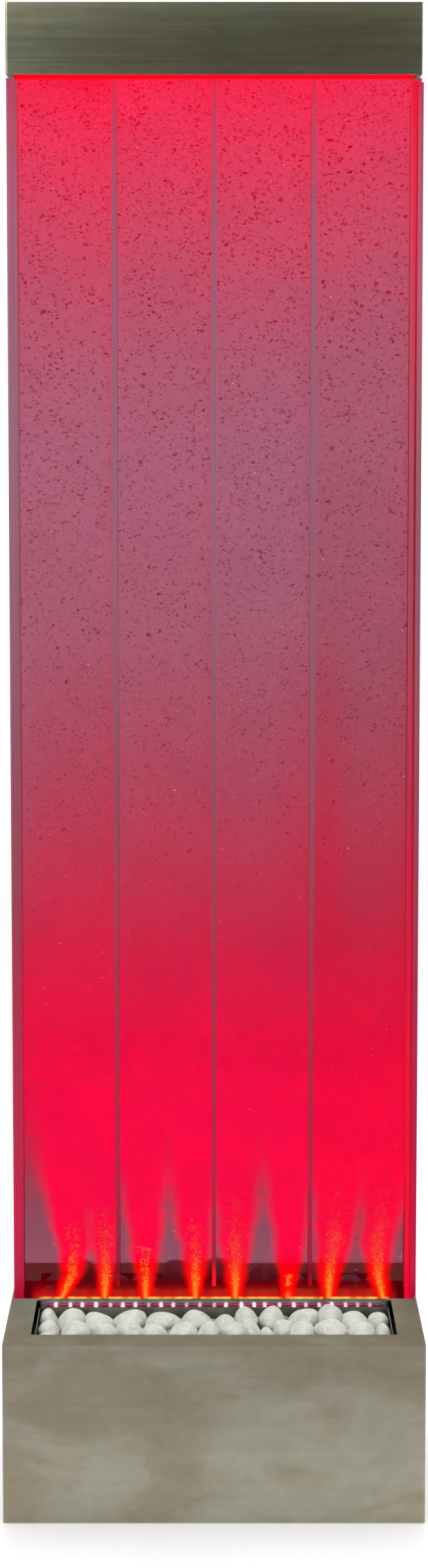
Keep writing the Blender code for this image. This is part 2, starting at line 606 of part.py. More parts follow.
def control_plate():
    """A recessed plate in the rear wall for the inlet, the switch and the air knob."""
    (x0, x1), (z0, z1) = PANEL_X, PANEL_Z
    floor = PANEL_FLOOR_Y
    plate = box("control_plate", x0, x1, 0.1768, 0.1782, z0, z1, DARK_STEEL)
    add(plate, box("tool", x0 + 0.0070, x1 - 0.0070, floor - 0.0012, 0.1782,
                   z0 + 0.0070, z1 - 0.0070))
    cut(plate, box("tool", x0 + 0.0082, x1 - 0.0082, floor, 0.19, z0 + 0.0082, z1 - 0.0082),
        box("tool", INLET_AT[0] - 0.0118, INLET_AT[0] + 0.0118, 0.15, 0.17,
            INLET_AT[1] - 0.0083, INLET_AT[1] + 0.0083),
        box("tool", SWITCH_AT[0] - 0.0098, SWITCH_AT[0] + 0.0098, 0.15, 0.17,
            SWITCH_AT[1] - 0.0065, SWITCH_AT[1] + 0.0065),
        cyl("tool", "y", KNOB_AT, 0.0036, 0.15, 0.17, STEEL, SMALL_STEPS))


def power_inlet():
    x, z = INLET_AT
    body = box("power_inlet", x - 0.0115, x + 0.0115, 0.1410, 0.1610, z - 0.0080, z + 0.0080,
               BLACK)
    add(body, box("tool", x - 0.0145, x + 0.0145, 0.1603, 0.1623, z - 0.0105, z + 0.0105))
    cut(body, box("tool", x - 0.0090, x + 0.0090, 0.1470, 0.17, z - 0.0055, z + 0.0055))
    for dx, dz in ((-0.0055, -0.0015), (0.0, 0.0015), (0.0055, -0.0015)):
        add(body, box("tool", x + dx - 0.0008, x + dx + 0.0008, 0.1465, 0.1580,
                      z + dz - 0.0016, z + dz + 0.0016))


def power_switch():
    x, z = SWITCH_AT
    y = ROCKER_Y
    body = box("switch_housing", x - 0.0095, x + 0.0095, 0.1440, 0.1610,
               z - 0.0062, z + 0.0062, BLACK)
    add(body, box("tool", x - 0.0115, x + 0.0115, 0.1603, 0.1620, z - 0.0080, z + 0.0080))
    cut(body, box("tool", x - 0.0080, x + 0.0080, 0.1500, 0.17, z - 0.0050, z + 0.0050),
        cyl("tool", "x", (y, z), 0.0013, x - 0.0090, x + 0.0090, BLACK, SMALL_STEPS))

    edge = [(0.0004, 0.0044), (0.0030, 0.0042), (0.0016, 0.0), (0.0030, -0.0042),
            (0.0004, -0.0044)]
    for i in range(1, 8):
        turn = math.radians(-90 - 180.0 * i / 8)
        edge.append((0.0044 * math.cos(turn), 0.0044 * math.sin(turn)))
    cos_t = math.cos(ROCKER_TILT)
    sin_t = math.sin(ROCKER_TILT)
    tilted = [(y + p * cos_t - q * sin_t, z + p * sin_t + q * cos_t) for p, q in edge]
    rocker = prism("switch_rocker", tilted, "x", x - 0.0076, x + 0.0076, RED_PLASTIC)
    add(rocker, cyl("tool", "x", (y, z), 0.0010, x - 0.0087, x + 0.0087, RED_PLASTIC,
                    SMALL_STEPS))
    pivot(rocker, (x, y, z))


# ---------------------------------------------------------------- rear door
def rear_door():
    x0, x1 = DOOR_X
    z0, z1 = DOOR_Z
    t = SHEET
    door = box("rear_door", x0, x1, 0.1785, 0.1800, z0, z1, STEEL)
    for z in (z0 + 0.0005, z1 - 0.0020):
        add(door, box("tool", HINGE_X + 0.0080, x1 - 0.0150, 0.1725, 0.1790, z, z + t))
    for z in (z0 + 0.0020, z1 - 0.0035):
        add(door, box("tool", HINGE_X - 0.0042, HINGE_X + 0.0042, HINGE_Y, 0.1790, z, z + t),
            cyl("tool", "z", (HINGE_X, HINGE_Y), 0.0042, z, z + t))
    cut(door, cyl("tool", "z", (HINGE_X, HINGE_Y), 0.0019, 0.0, 0.2),
        box("tool", 0.0400, 0.0800, 0.17, 0.19, 0.0730, 0.0970))
    pivot(door, (HINGE_X, HINGE_Y, z0))

    pull = box("door_pull", 0.0403, 0.0797, 0.1650, 0.1800, 0.0733, 0.0967, BLACK)
    add(pull, box("tool", 0.0370, 0.0830, 0.1768, 0.1782, 0.0700, 0.1000))
    cut(pull, box("tool", 0.0420, 0.0780, 0.1665, 0.19, 0.0750, 0.0950))
    box("door_magnet", 0.0925, 0.1120, 0.1650, 0.1780, 0.0780, 0.0920, BLACK)


def hinge_bracket(name, edge, way):
    """An angle behind the rear wall with a pin that enters the door's tab.  edge is the
    door's top or bottom edge and way is +1 above it or -1 below."""
    def span(a, b):
        low, high = sorted((edge + way * a, edge + way * b))
        return low, high

    z0, z1 = span(0.0018, 0.0033)
    piece = box(name, HINGE_X - 0.0220, HINGE_X + 0.0050, 0.1680, 0.1782, z0, z1, INNER_STEEL)
    z0, z1 = span(-0.0150, 0.0033)
    add(piece, box("tool", HINGE_X - 0.0220, HINGE_X - 0.0110, 0.1768, 0.1782, z0, z1))
    z0, z1 = span(-0.0060, 0.0020)
    add(piece, cyl("tool", "z", (HINGE_X, HINGE_Y), 0.0015, z0, z1))


# ---------------------------------------------------------------- cap
def cap():
    w = CAP_HALF_W
    t = SHEET
    y0, y1 = CAP_Y
    z0, z1 = CAP_Z
    shell = prism("cap_shell", round_rect(-w, w, y0, y1, 0.002), "z", z0, z1, STEEL)
    f = t + CAP_FLANGE
    cut(shell, box("tool", -w + t, w - t, y0 + t, y1 - t, z0 + t, z1 - t),
        box("tool", -w + f, w - f, y0 + f, y1 - f, z0 - 0.01, z0 + 0.01))
    for x0, x1 in ((-0.2470, -0.2390), (0.2390, 0.2470)):
        cut(shell, box("tool", x0, x1, TANK_FRONT - 0.0005, TANK_REAR + 0.0005, z0 - 0.01,
                       TANK_SHOULDER + GAP))
    lens_z0 = z0 + t + GAP
    for name, lens_y0, lens_y1 in (
            ("cap_diffuser_front", y0 + t + GAP, TANK_FRONT - 0.0008),
            ("cap_diffuser_rear", TANK_REAR + 0.0008, y1 - t - GAP)):
        box(name, -0.2430, 0.2430, lens_y0, lens_y1, lens_z0, lens_z0 + 0.003, OPAL)


base_housing()
bottom_pan()
feet()
inner_frame()
tank_beam()
tray("front_tray", FRONT_TRAY_Y[0], FRONT_TRAY_Y[1])
tray("rear_tray", REAR_TRAY_Y[0], REAR_TRAY_Y[1])
pebble_bed("front_pebbles", FRONT_STONES, FRONT_TRAY_Y[0], FRONT_TRAY_Y[1], 0.029,
           FRONT_BED_TOP)
pebble_bed("rear_pebbles", REAR_STONES, REAR_TRAY_Y[0], REAR_TRAY_Y[1], 0.026,
           REAR_BED_TOP)
led_strips()
tank()
cable_duct()
air_nozzles()
air_manifold()
air_pump()
flow_valve()
drain()
control_box()
control_plate()
power_inlet()
power_switch()
rear_door()
hinge_bracket("hinge_bracket_top", DOOR_Z[1], 1.0)
hinge_bracket("hinge_bracket_bottom", DOOR_Z[0], -1.0)
cap()
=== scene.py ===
"""The looks of the bubble wall fountain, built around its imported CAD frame.

Units are metres: X is right, -Y is the front, +Z is up, the floor is z = 0.
"""
import math

import bmesh
import bpy
import numpy as np
from mathutils import Matrix, Vector


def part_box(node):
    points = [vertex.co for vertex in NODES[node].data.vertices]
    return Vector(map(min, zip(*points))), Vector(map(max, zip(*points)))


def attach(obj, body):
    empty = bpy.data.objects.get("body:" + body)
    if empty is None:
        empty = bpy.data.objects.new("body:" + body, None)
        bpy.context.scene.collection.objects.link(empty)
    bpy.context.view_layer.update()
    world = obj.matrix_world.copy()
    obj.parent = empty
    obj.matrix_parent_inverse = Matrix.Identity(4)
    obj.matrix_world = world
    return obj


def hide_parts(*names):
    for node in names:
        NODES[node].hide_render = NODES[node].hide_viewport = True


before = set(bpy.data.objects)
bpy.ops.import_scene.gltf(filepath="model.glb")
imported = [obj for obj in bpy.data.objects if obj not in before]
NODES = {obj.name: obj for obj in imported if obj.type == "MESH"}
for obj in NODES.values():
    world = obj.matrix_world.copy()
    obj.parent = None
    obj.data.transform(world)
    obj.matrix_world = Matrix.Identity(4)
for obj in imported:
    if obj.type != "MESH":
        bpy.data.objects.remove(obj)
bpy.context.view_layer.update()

scene = bpy.context.scene
scene.view_settings.view_transform = "Standard"
scene.cycles.transparent_max_bounces = 40


# ---------------- places, from the frame
def low(node):
    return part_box(node)[0]


def high(node):
    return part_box(node)[1]


FRONT_SHEET_BACK = high("tank_front_sheet").y
REAR_SHEET_FRONT = low("tank_rear_sheet").y
TANK_MID = (FRONT_SHEET_BACK + REAR_SHEET_FRONT) / 2
TANK_BOTTOM = low("tank_front_sheet").z
TANK_HALF_W = high("tank_front_sheet").x
BAR_TOP = high("tank_bottom_bar").z
SIDE_BAR = high("tank_side_left").x - low("tank_side_left").x
WATER_TOP = high("divider_1").z - 0.006
NOZZLES = [(low("air_nozzle_%d" % i).x + high("air_nozzle_%d" % i).x) / 2 for i in range(1, 9)]

CLEARANCE = 0.0003                  # between bonded pieces
WALLS = ("tank_side_left", "divider_1", "divider_2", "divider_3", "tank_side_right")
CHANNELS = [(high(one).x, low(two).x) for one, two in zip(WALLS, WALLS[1:])]
GLOW_Y = TANK_MID - 0.006           # the lit water's middle, just in front of the nozzles


# ---------------- helpers
def srgb(r, g, b):
    """A screen colour, 0 to 255, as linear light."""
    def linear(v):
        v = v / 255.0
        return v / 12.92 if v <= 0.04045 else ((v + 0.055) / 1.055) ** 2.4
    return linear(r), linear(g), linear(b)


def rgba(colour):
    return colour[0], colour[1], colour[2], 1.0


def tones(*rows):
    """(place, colour) stops from rows of a place and a screen colour."""
    return tuple((row[0], srgb(*row[1:])) for row in rows)


def greys(*rows):
    """(place, colour) stops from rows of a place and a brightness."""
    return tuple((place, (v, v, v)) for place, v in rows)


def smooth(a, b, v):
    t = np.clip((v - a) / (b - a), 0.0, 1.0)
    return t * t * (3.0 - 2.0 * t)


def at_height(stops, z):
    """Colours between (height, colour) stops, one row for each height in z."""
    heights = [s[0] for s in stops]
    return np.stack([np.interp(z, heights, [s[1][k] for s in stops]) for k in range(3)], -1)


def link_object(name, mesh, *mats):
    for mat in mats:
        mesh.materials.append(mat)
    obj = bpy.data.objects.new(name, mesh)
    scene.collection.objects.link(obj)
    return obj


def mesh_from(name, verts, faces):
    """A mesh from numpy arrays; every face has the same number of corners."""
    mesh = bpy.data.meshes.new(name)
    corners = faces.shape[1]
    mesh.vertices.add(len(verts))
    mesh.vertices.foreach_set("co", np.asarray(verts, np.float32).ravel())
    mesh.loops.add(faces.size)
    mesh.loops.foreach_set("vertex_index", faces.ravel().astype(np.int32))
    mesh.polygons.add(len(faces))
    mesh.polygons.foreach_set("loop_start", np.arange(0, faces.size, corners, dtype=np.int32))
    mesh.update(calc_edges=True)
    mesh.validate()
    mesh.shade_smooth()
    return mesh


def from_bmesh(name, bm, *mats, sharp=35.0):
    bmesh.ops.recalc_face_normals(bm, faces=bm.faces)
    mesh = bpy.data.meshes.new(name)
    bm.to_mesh(mesh)
    bm.free()
    mesh.shade_smooth()
    mesh.set_sharp_from_angle(angle=math.radians(sharp))
    return link_object(name, mesh, *mats)


def evaluated_mesh(obj):
    """The object's mesh with its modifiers applied; the object itself is dropped."""
    graph = bpy.context.evaluated_depsgraph_get()
    mesh = bpy.data.meshes.new_from_object(obj.evaluated_get(graph), depsgraph=graph)
    bpy.data.objects.remove(obj, do_unlink=True)
    return mesh


# ---------------- node trees
class Tree:
    """A short way to write the node tree of a new material or world."""

    def __init__(self, name, kinds=bpy.data.materials):
        self.owner = kinds.new(name)
        self.owner.use_nodes = True
        self.tree = self.owner.node_tree
        self.tree.nodes.clear()

    def add(self, kind, inputs=None, **settings):
        node = self.tree.nodes.new("ShaderNode" + kind)
        for key, value in settings.items():
            setattr(node, key, value)
        for key, value in (inputs or {}).items():
            self.put(node.inputs[key], value)
        return node

    def put(self, socket, value):
        if isinstance(value, bpy.types.NodeSocket):
            self.tree.links.new(value, socket)
        elif isinstance(value, tuple) and len(value) == 3 and len(socket.default_value) == 4:
            socket.default_value = rgba(value)
        else:
            socket.default_value = value

    def coords(self):
        return self.add("TexCoord").outputs["Object"]

    def axes(self):
        split = self.add("SeparateXYZ", {0: self.coords()})
        return split.outputs[0], split.outputs[1], split.outputs[2]

    def geometry(self, output):
        return self.add("NewGeometry").outputs[output]

    def math(self, operation, a, b=0.0):
        return self.add("Math", {0: a, 1: b}, operation=operation).outputs[0]

    def times(self, first, *others):
        """Numbers multiplied together."""
        for factor in others:
            first = self.math("MULTIPLY", first, factor)
        return first

    def span(self, value, a, b, to_a=0.0, to_b=1.0, steps="SMOOTHSTEP"):
        node = self.add("MapRange", {0: value, 1: a, 2: b, 3: to_a, 4: to_b},
                        interpolation_type=steps)
        return node.outputs[0]

    def uneven(self, noise, a, b):
        """From a to b over the range that most of a noise keeps to."""
        return self.span(noise, 0.3, 0.7, a, b)

    def noise(self, scale, detail=3.0, rough=0.5, stretch=None, coords=None, distort=0.0):
        """Cloudy noise, 0 to 1; stretch is how fine it is along each axis."""
        vector = coords or self.coords()
        if stretch:
            vector = self.add("Mapping", {0: vector, 3: stretch}).outputs[0]
        node = self.add("TexNoise", {"Vector": vector, "Scale": scale, "Detail": detail,
                                     "Roughness": rough, "Distortion": distort})
        return node.outputs["Fac"]

    def ramp(self, value, stops, mode="LINEAR"):
        """A colour for each value: stops are (position, colour)."""
        node = self.add("ValToRGB", {0: value})
        bar = node.color_ramp
        bar.interpolation = mode
        while len(bar.elements) < len(stops):
            bar.elements.new(1.0)
        for element, (position, colour) in zip(bar.elements, stops):
            element.position = position
            element.color = rgba(colour)
        return node.outputs[0]

    def by_height(self, z, stops):
        first, last = stops[0][0], stops[-1][0]
        share = self.span(z, first, last, steps="LINEAR")
        return self.ramp(share, [((h - first) / (last - first), c) for h, c in stops])

    def mix(self, share, a, b, blend="MIX"):
        node = self.add("Mix", {0: share, 6: a, 7: b}, data_type="RGBA", blend_type=blend)
        return node.outputs[2]

    def scaled(self, colour, factor):
        """A colour times a number."""
        node = self.add("VectorMath", {0: colour, "Scale": factor}, operation="SCALE")
        return node.outputs[0]

    def bump(self, height, distance, strength=1.0):
        node = self.add("Bump", {"Height": height, "Distance": distance, "Strength": strength})
        return node.outputs[0]

    def principled(self, **sockets):
        return self.add("BsdfPrincipled", {k.replace("_", " "): v for k, v in sockets.items()})

    def finish(self, shader, output="OutputMaterial"):
        out = self.add(output)
        self.tree.links.new(shader.outputs[0], out.inputs[0])
        return self.owner


# ---------------- solid materials
def brushed_steel(name, cool, warm, roughness=0.36, shade=None, bands=0.03):
    """Sheet steel brushed along X, or along Y on the side faces, with cloudy tones and painted
    shade: upward faces a little lighter, downward faces much darker.
    """
    t = Tree(name)
    facing = t.add("SeparateXYZ", {0: t.geometry("Normal")})
    sideways = t.span(t.math("ABSOLUTE", facing.outputs[0]), 0.6, 0.8)
    along_x = t.noise(1.0, 4.0, 0.7, (3.0, 900.0, 900.0))
    along_y = t.noise(1.0, 4.0, 0.7, (900.0, 3.0, 900.0))
    lines = t.add("Mix", {0: sideways, 2: along_x, 3: along_y}, data_type="FLOAT").outputs[0]
    # Painted shade: lighter where a face turns up, much darker where it turns down.
    lid = t.times(t.span(facing.outputs[2], 0.5, 0.9, 1.0, 1.12),
                  t.span(facing.outputs[2], -0.9, -0.5, 0.25, 1.0))
    broad = t.noise(1.0, 3.0, 0.6, (4.0, 70.0, 70.0))
    clouds = t.noise(5.0, 6.0, 0.60, (0.8, 1.0, 1.5), distort=0.5)
    tone = t.mix(t.span(clouds, 0.43, 0.57), warm, cool)
    patches = t.uneven(t.noise(11.0, 4.0, 0.55, (1.0, 1.0, 1.8)), 0.95, 1.05)
    streaks = t.uneven(broad, 1.0 - bands, 1.0 + bands)
    fine = t.span(lines, 0.25, 0.75, 0.95, 1.05)
    blots = t.uneven(t.noise(58.0, 5.0, 0.65, (1.0, 1.0, 1.3)), 0.955, 1.045)
    level = t.times(patches, streaks, fine, blots, lid)
    if shade:
        level = t.times(level, shade(t), 1.2)
    gloss = t.math("ADD", t.span(lines, 0.2, 0.8, -0.05, 0.06),
                   t.uneven(clouds, roughness + 0.03, roughness - 0.03))
    shader = t.principled(Base_Color=t.scaled(tone, level), Metallic=1.0, Roughness=gloss,
                          Specular_Tint=(0.45, 0.44, 0.40), Normal=t.bump(lines, 0.00002, 0.2))
    return t.finish(shader)


def metal(name, colour, roughness, grain=60.0):
    """Turned, drawn or plated metal with a fine uneven finish."""
    t = Tree(name)
    clouds = t.noise(grain, 3.0, 0.6)
    level = t.uneven(clouds, 0.86, 1.10)
    shader = t.principled(Base_Color=t.scaled(colour, level), Metallic=1.0,
                          Roughness=t.uneven(clouds, roughness - 0.06, roughness + 0.08),
                          Normal=t.bump(t.noise(900.0, 2.0), 0.00002, 0.4))
    return t.finish(shader)


def moulded(name, colour, roughness, texture=1400.0, depth=0.00004):
    """Moulded plastic or rubber with a fine spark-eroded texture and slight handling wear."""
    t = Tree(name)
    clouds = t.noise(28.0, 3.0, 0.6)
    level = t.uneven(clouds, 0.88, 1.12)
    grain = t.noise(texture, 2.0, 0.6)
    shader = t.principled(Base_Color=t.scaled(colour, level),
                          Roughness=t.uneven(clouds, roughness - 0.05, roughness + 0.08),
                          Normal=t.bump(grain, depth, 0.6))
    return t.finish(shader)


def marble(name, light, dark, vein):
    """Tumbled pebbles: polished, faintly clouded and veined, with painted shade on their
    downward sides.
    """
    t = Tree(name)
    island = t.geometry("Random Per Island")
    shift = t.add("CombineXYZ", {0: t.math("MULTIPLY", island, 3.0), 1: island}).outputs[0]
    coords = t.add("VectorMath", {0: t.coords(), 1: shift}, operation="ADD").outputs[0]
    clouds = t.noise(46.0, 4.0, 0.6, coords=coords, distort=0.8)
    fine = t.noise(260.0, 3.0, 0.6, coords=coords)
    body = t.mix(t.span(clouds, 0.34, 0.66), dark, light)
    body = t.mix(t.span(island, 0.0, 1.0, 0.0, 0.35), body, light)
    ridge = t.math("ABSOLUTE", t.math("SUBTRACT", t.noise(30.0, 4.0, 0.6, coords=coords,
                                                        distort=1.6), 0.5))
    lines = t.span(ridge, 0.0, 0.022, 0.5, 0.0)
    body = t.mix(lines, body, vein)
    up = t.add("SeparateXYZ", {0: t.geometry("Normal")}).outputs[2]
    # Painted shade: faces that turn down are darker, to about a third at the undersides.
    level = t.times(t.uneven(fine, 0.96, 1.04), t.span(up, -0.4, 0.65, 0.34, 1.0))
    shader = t.principled(Base_Color=t.scaled(body, level),
                          Roughness=t.uneven(clouds, 0.34, 0.52),
                          Normal=t.bump(t.noise(150.0, 3.0, coords=coords), 0.0002, 0.35))
    return t.finish(shader)


# ---------------- lit water
PANEL_TONES = tones(                # between the plumes, over a white background
    (0.219, 136, 76, 93), (0.262, 141, 78, 96), (0.300, 137, 74, 92), (0.330, 138, 69, 87),
    (0.371, 160, 56, 78), (0.400, 190, 40, 72), (0.456, 221, 19, 66), (0.546, 224, 20, 64),
    (0.652, 208, 34, 70), (0.757, 191, 54, 81), (0.861, 177, 70, 93), (0.965, 170, 81, 103),
    (1.068, 167, 91, 113), (1.273, 171, 96, 120), (1.374, 178, 92, 117), (1.475, 191, 83, 109),
    (1.576, 210, 70, 100), (1.676, 236, 53, 91), (1.725, 250, 42, 82), (1.740, 252, 36, 76),
    (1.760, 252, 16, 50))
PLUME_TONES = tones(                # inside the plumes
    (0.219, 255, 2, 22), (0.258, 254, 3, 40), (0.275, 253, 3, 61), (0.456, 248, 3, 65),
    (0.546, 238, 9, 63), (0.652, 215, 29, 68), (0.757, 192, 50, 78), (0.861, 177, 65, 87))
WATER_CLEAR = np.array((0.146, 0.063, 0.120))       # what the tinted water lets through
PLUME_CLEAR = np.array((0.030, 0.001, 0.040))
DEEP_CLEAR = np.array((0.150, 0.090, 0.105))        # near the bottom, between the plumes
DEEP_GLOW = np.array((0.080, 0.0006, 0.003))

# Each plume: how far its middle stands from the nozzle at five heights.
PLUME_LEVELS = (0.2205, 0.247, 0.282, 0.318, 0.371)
PLUME_SWAY = (
    (-0.0030, 0.0100, 0.0112, 0.0077, 0.0020), (0.0000, 0.0000, 0.0008, -0.0018, -0.0022),
    (0.0022, 0.0020, 0.0018, 0.0010, -0.0004), (-0.0015, -0.0015, -0.0008, -0.0025, -0.0052),
    (0.0010, 0.0012, 0.0012, 0.0020, 0.0020), (0.0025, 0.0045, 0.0052, 0.0048, 0.0040),
    (0.0025, 0.0040, 0.0085, 0.0125, 0.0140), (0.0020, -0.0035, -0.0045, 0.0004, 0.0045))
PLUME_WIDTH = (1.06, 0.86, 1.0, 1.0, 1.04, 1.0, 1.14, 1.02)
CORE_REACH = (0.070, 0.090, 0.045, 0.070, 0.100, 0.014, 0.110, 0.125)    # up from its nozzle
CORE_FOOT = np.array(srgb(254, 84, 8))
CORE_TOP = np.array(srgb(252, 62, 50))
SPARK = np.array(srgb(255, 168, 44))        # where the air leaves a nozzle
FLOOR_RED = np.array(srgb(225, 12, 22))     # the water just over the bottom bar


def plume_middle(i, z):
    sway = np.interp(z, PLUME_LEVELS, PLUME_SWAY[i])
    wobble = 0.0012 * np.sin(z * 95.0 + i * 2.1) * smooth(0.24, 0.30, z)
    return NOZZLES[i] + sway + wobble


def plume_share(x, z):
    """How much of the water at (x, z) a plume lights, 0 to 1: low down only the plumes of
    its own channel, higher up those next door too."""
    walls_x = [(a[1] + b[0]) / 2 for a, b in zip(CHANNELS, CHANNELS[1:])]
    channel = np.searchsorted(walls_x, x)
    rise = np.maximum(z - PLUME_LEVELS[0], 0.0)
    half = 0.0096 + 0.0204 * (rise / (PLUME_LEVELS[-1] - PLUME_LEVELS[0])) ** 0.85
    edge = 0.0075 + 0.125 * np.minimum(rise, 0.25)
    next_door = smooth(0.33, 0.40, z)
    outside = np.ones_like(x)
    for i, nozzle in enumerate(NOZZLES):
        away = np.abs(x - plume_middle(i, z))
        ripple = 0.0005 * np.sin(z * 260.0 + i) + 0.0007 * np.sin(z * 120.0 + 2 * i)
        wide = half * PLUME_WIDTH[i]
        inside = smooth(wide + edge / 2, wide - edge / 2, away + ripple)
        inside = inside * np.where(channel == np.searchsorted(walls_x, nozzle), 1.0, next_door)
        outside = outside * (1.0 - inside)
    return (1.0 - outside) * smooth(0.86, 0.56, z)


def core_share(x, z):
    """The glowing middle of each plume, strongest at its nozzle."""
    rise = np.maximum(z - TANK_BOTTOM, 0.0)
    half = 0.0030 + 0.070 * rise
    total = np.zeros_like(x)
    for i, reach in enumerate(CORE_REACH):
        away = np.abs(x - plume_middle(i, z)) / half
        total = np.maximum(total, np.exp(-away ** 2) * smooth(reach, 0.0, rise))
    return total


# Where the bubbles carry the light higher or lower: x, lift, width.
LIFTS = ((-0.236, -0.055, 0.012), (-0.172, 0.026, 0.030), (-0.131, 0.034, 0.012),
         (-0.112, -0.030, 0.012), (-0.070, 0.006, 0.020), (0.050, -0.016, 0.012),
         (0.096, 0.034, 0.014), (0.140, 0.066, 0.020), (0.190, -0.020, 0.025))


def water_colours(x, z):
    """(glow, clear) of the lit water: what it gives off and what it lets through."""
    share = plume_share(x, z)[:, None]
    # The tones between the plumes, moved up or down by the bubbles and the lamps above.
    lift = sum(by * np.exp(-((x - at) / wide) ** 2) for at, by, wide in LIFTS)
    lift = lift * smooth(0.46, 0.60, z) * smooth(1.15, 0.95, z)
    top_lamp = 0.025 * np.exp(-((x + 0.155) / 0.045) ** 2) - 0.03 * smooth(0.10, 0.235, x)
    level = z + top_lamp * smooth(1.36, 1.52, z) - lift
    over_white = at_height(PANEL_TONES, level) * (1 - share) + at_height(PLUME_TONES, z) * share
    # Redder in the right channel and beside each channel's right wall, dimmer to the right.
    right = 1.0 - 0.17 * smooth(0.115, 0.13, x) * smooth(1.45, 1.2, z)
    dim = 1.0 - 0.09 * smooth(-0.16, 0.20, x) * smooth(1.55, 1.40, z) * smooth(0.45, 0.60, z)
    over_white = over_white * np.stack([dim, right, right], -1)
    ends = np.array([c[1] for c in CHANNELS])
    to_wall = ends[np.clip(np.searchsorted(ends, x), 0, 3)] - x
    by_wall = (np.exp(-np.maximum(to_wall, 0.0) / 0.007) * smooth(0.5, 0.8, z))[:, None]
    over_white = over_white * (1.0 + by_wall * np.array((0.08, -0.22, -0.16)))
    # What shines through: nothing at the very top, and more low down between the plumes.
    clear = WATER_CLEAR * (1 - share) + PLUME_CLEAR * share
    clear = clear * smooth(1.7115, 1.6990, z)[:, None]
    deep = smooth(0.268, 0.254, z)[:, None] * (1 - share)
    clear = np.minimum(clear, 0.8 * over_white)
    clear = clear * (1 - deep) + DEEP_CLEAR * deep
    glow = np.maximum(over_white - clear, 0.0) * (1 - deep) + DEEP_GLOW * deep
    # The cores of the plumes, and the red light close over the bottom bar.
    core = core_share(x, z)[:, None]
    rise = np.clip((z - TANK_BOTTOM) / 0.05, 0.0, 1.0)[:, None]
    hot = CORE_FOOT * (1 - rise) + CORE_TOP * rise
    glow = glow * (1 - core) + hot * core
    spark = core ** 3 * (1.0 - np.clip((z - TANK_BOTTOM) / 0.045, 0.0, 1.0))[:, None]
    glow = glow * (1 - spark) + SPARK * spark
    floor_glow = (smooth(0.236, 0.223, z) * smooth(0.232, 0.222, np.abs(x)))[:, None]
    floor_glow = floor_glow * (1 - share) * 0.7
    glow = glow * (1 - floor_glow) + FLOOR_RED * floor_glow
    clear = clear * (1 - 0.7 * floor_glow) * (1 - 0.8 * core)
    return glow, clear


def paint(mesh, name, colours):
    """Keeps one colour for each vertex."""
    layer = mesh.attributes.new(name, "FLOAT_COLOR", "POINT")
    layer.data.foreach_set("color", np.concatenate(
        [colours, np.ones((len(colours), 1))], 1).astype(np.float32).ravel())


def water_material():
    """Tinted water lit from below and above, with the faint texture of fine bubbles."""
    t = Tree("lit_water")
    glow = t.add("Attribute", attribute_name="glow").outputs["Color"]
    clear = t.add("Attribute", attribute_name="clear").outputs["Color"]
    fine = t.uneven(t.noise(210.0, 3.0, 0.65), 0.93, 1.07)
    clouds = t.uneven(t.noise(14.0, 2.0, 0.5), 0.96, 1.04)
    light = t.add("Emission", {0: t.scaled(glow, t.times(fine, clouds))})
    through = t.add("BsdfTransparent", {0: clear})
    return t.finish(t.add("AddShader", {0: light.outputs[0], 1: through.outputs[0]}))


def grid(xs, zs):
    """The x and z of every point of an upright grid, and its quads."""
    gx, gz = np.meshgrid(xs, zs)
    nx, nz = len(xs), len(zs)
    first = (np.arange(nz - 1)[:, None] * nx + np.arange(nx - 1)[None, :]).ravel()
    return gx.ravel(), gz.ravel(), np.stack([first, first + 1, first + nx + 1, first + nx], -1)


def sheet_mesh(name, xs, zs, y):
    x, z, faces = grid(xs, zs)
    mesh = mesh_from(name, np.stack([x, np.full_like(x, y), z], -1), faces)
    glow, clear = water_colours(x, z)
    paint(mesh, "glow", glow)
    paint(mesh, "clear", clear)
    return mesh


def steps(a, b, size):
    return np.linspace(a, b, max(2, int(round((b - a) / size)) + 1))


def no_light(obj):
    """Lit water and bubbles don't tint what stands around them."""
    obj.visible_diffuse = False
    obj.visible_glossy = False
    obj.visible_shadow = False
    return obj


def lit_water():
    """A sheet of lit water in each channel, on a finer grid low down, where the plumes are."""
    mat = water_material()
    fine_top, fine, coarse = 0.42, 0.0022, 0.012
    zs = np.concatenate([steps(BAR_TOP + CLEARANCE, fine_top, fine),
                         steps(fine_top, WATER_TOP, coarse)[1:]])
    for i, (x0, x1) in enumerate(CHANNELS):
        mesh = sheet_mesh("lit_water", steps(x0 - CLEARANCE, x1 + CLEARANCE, fine), zs, GLOW_Y)
        sheet = link_object("lit_water_%d" % (i + 1), mesh, mat)
        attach(no_light(sheet), "stand")
    return mat


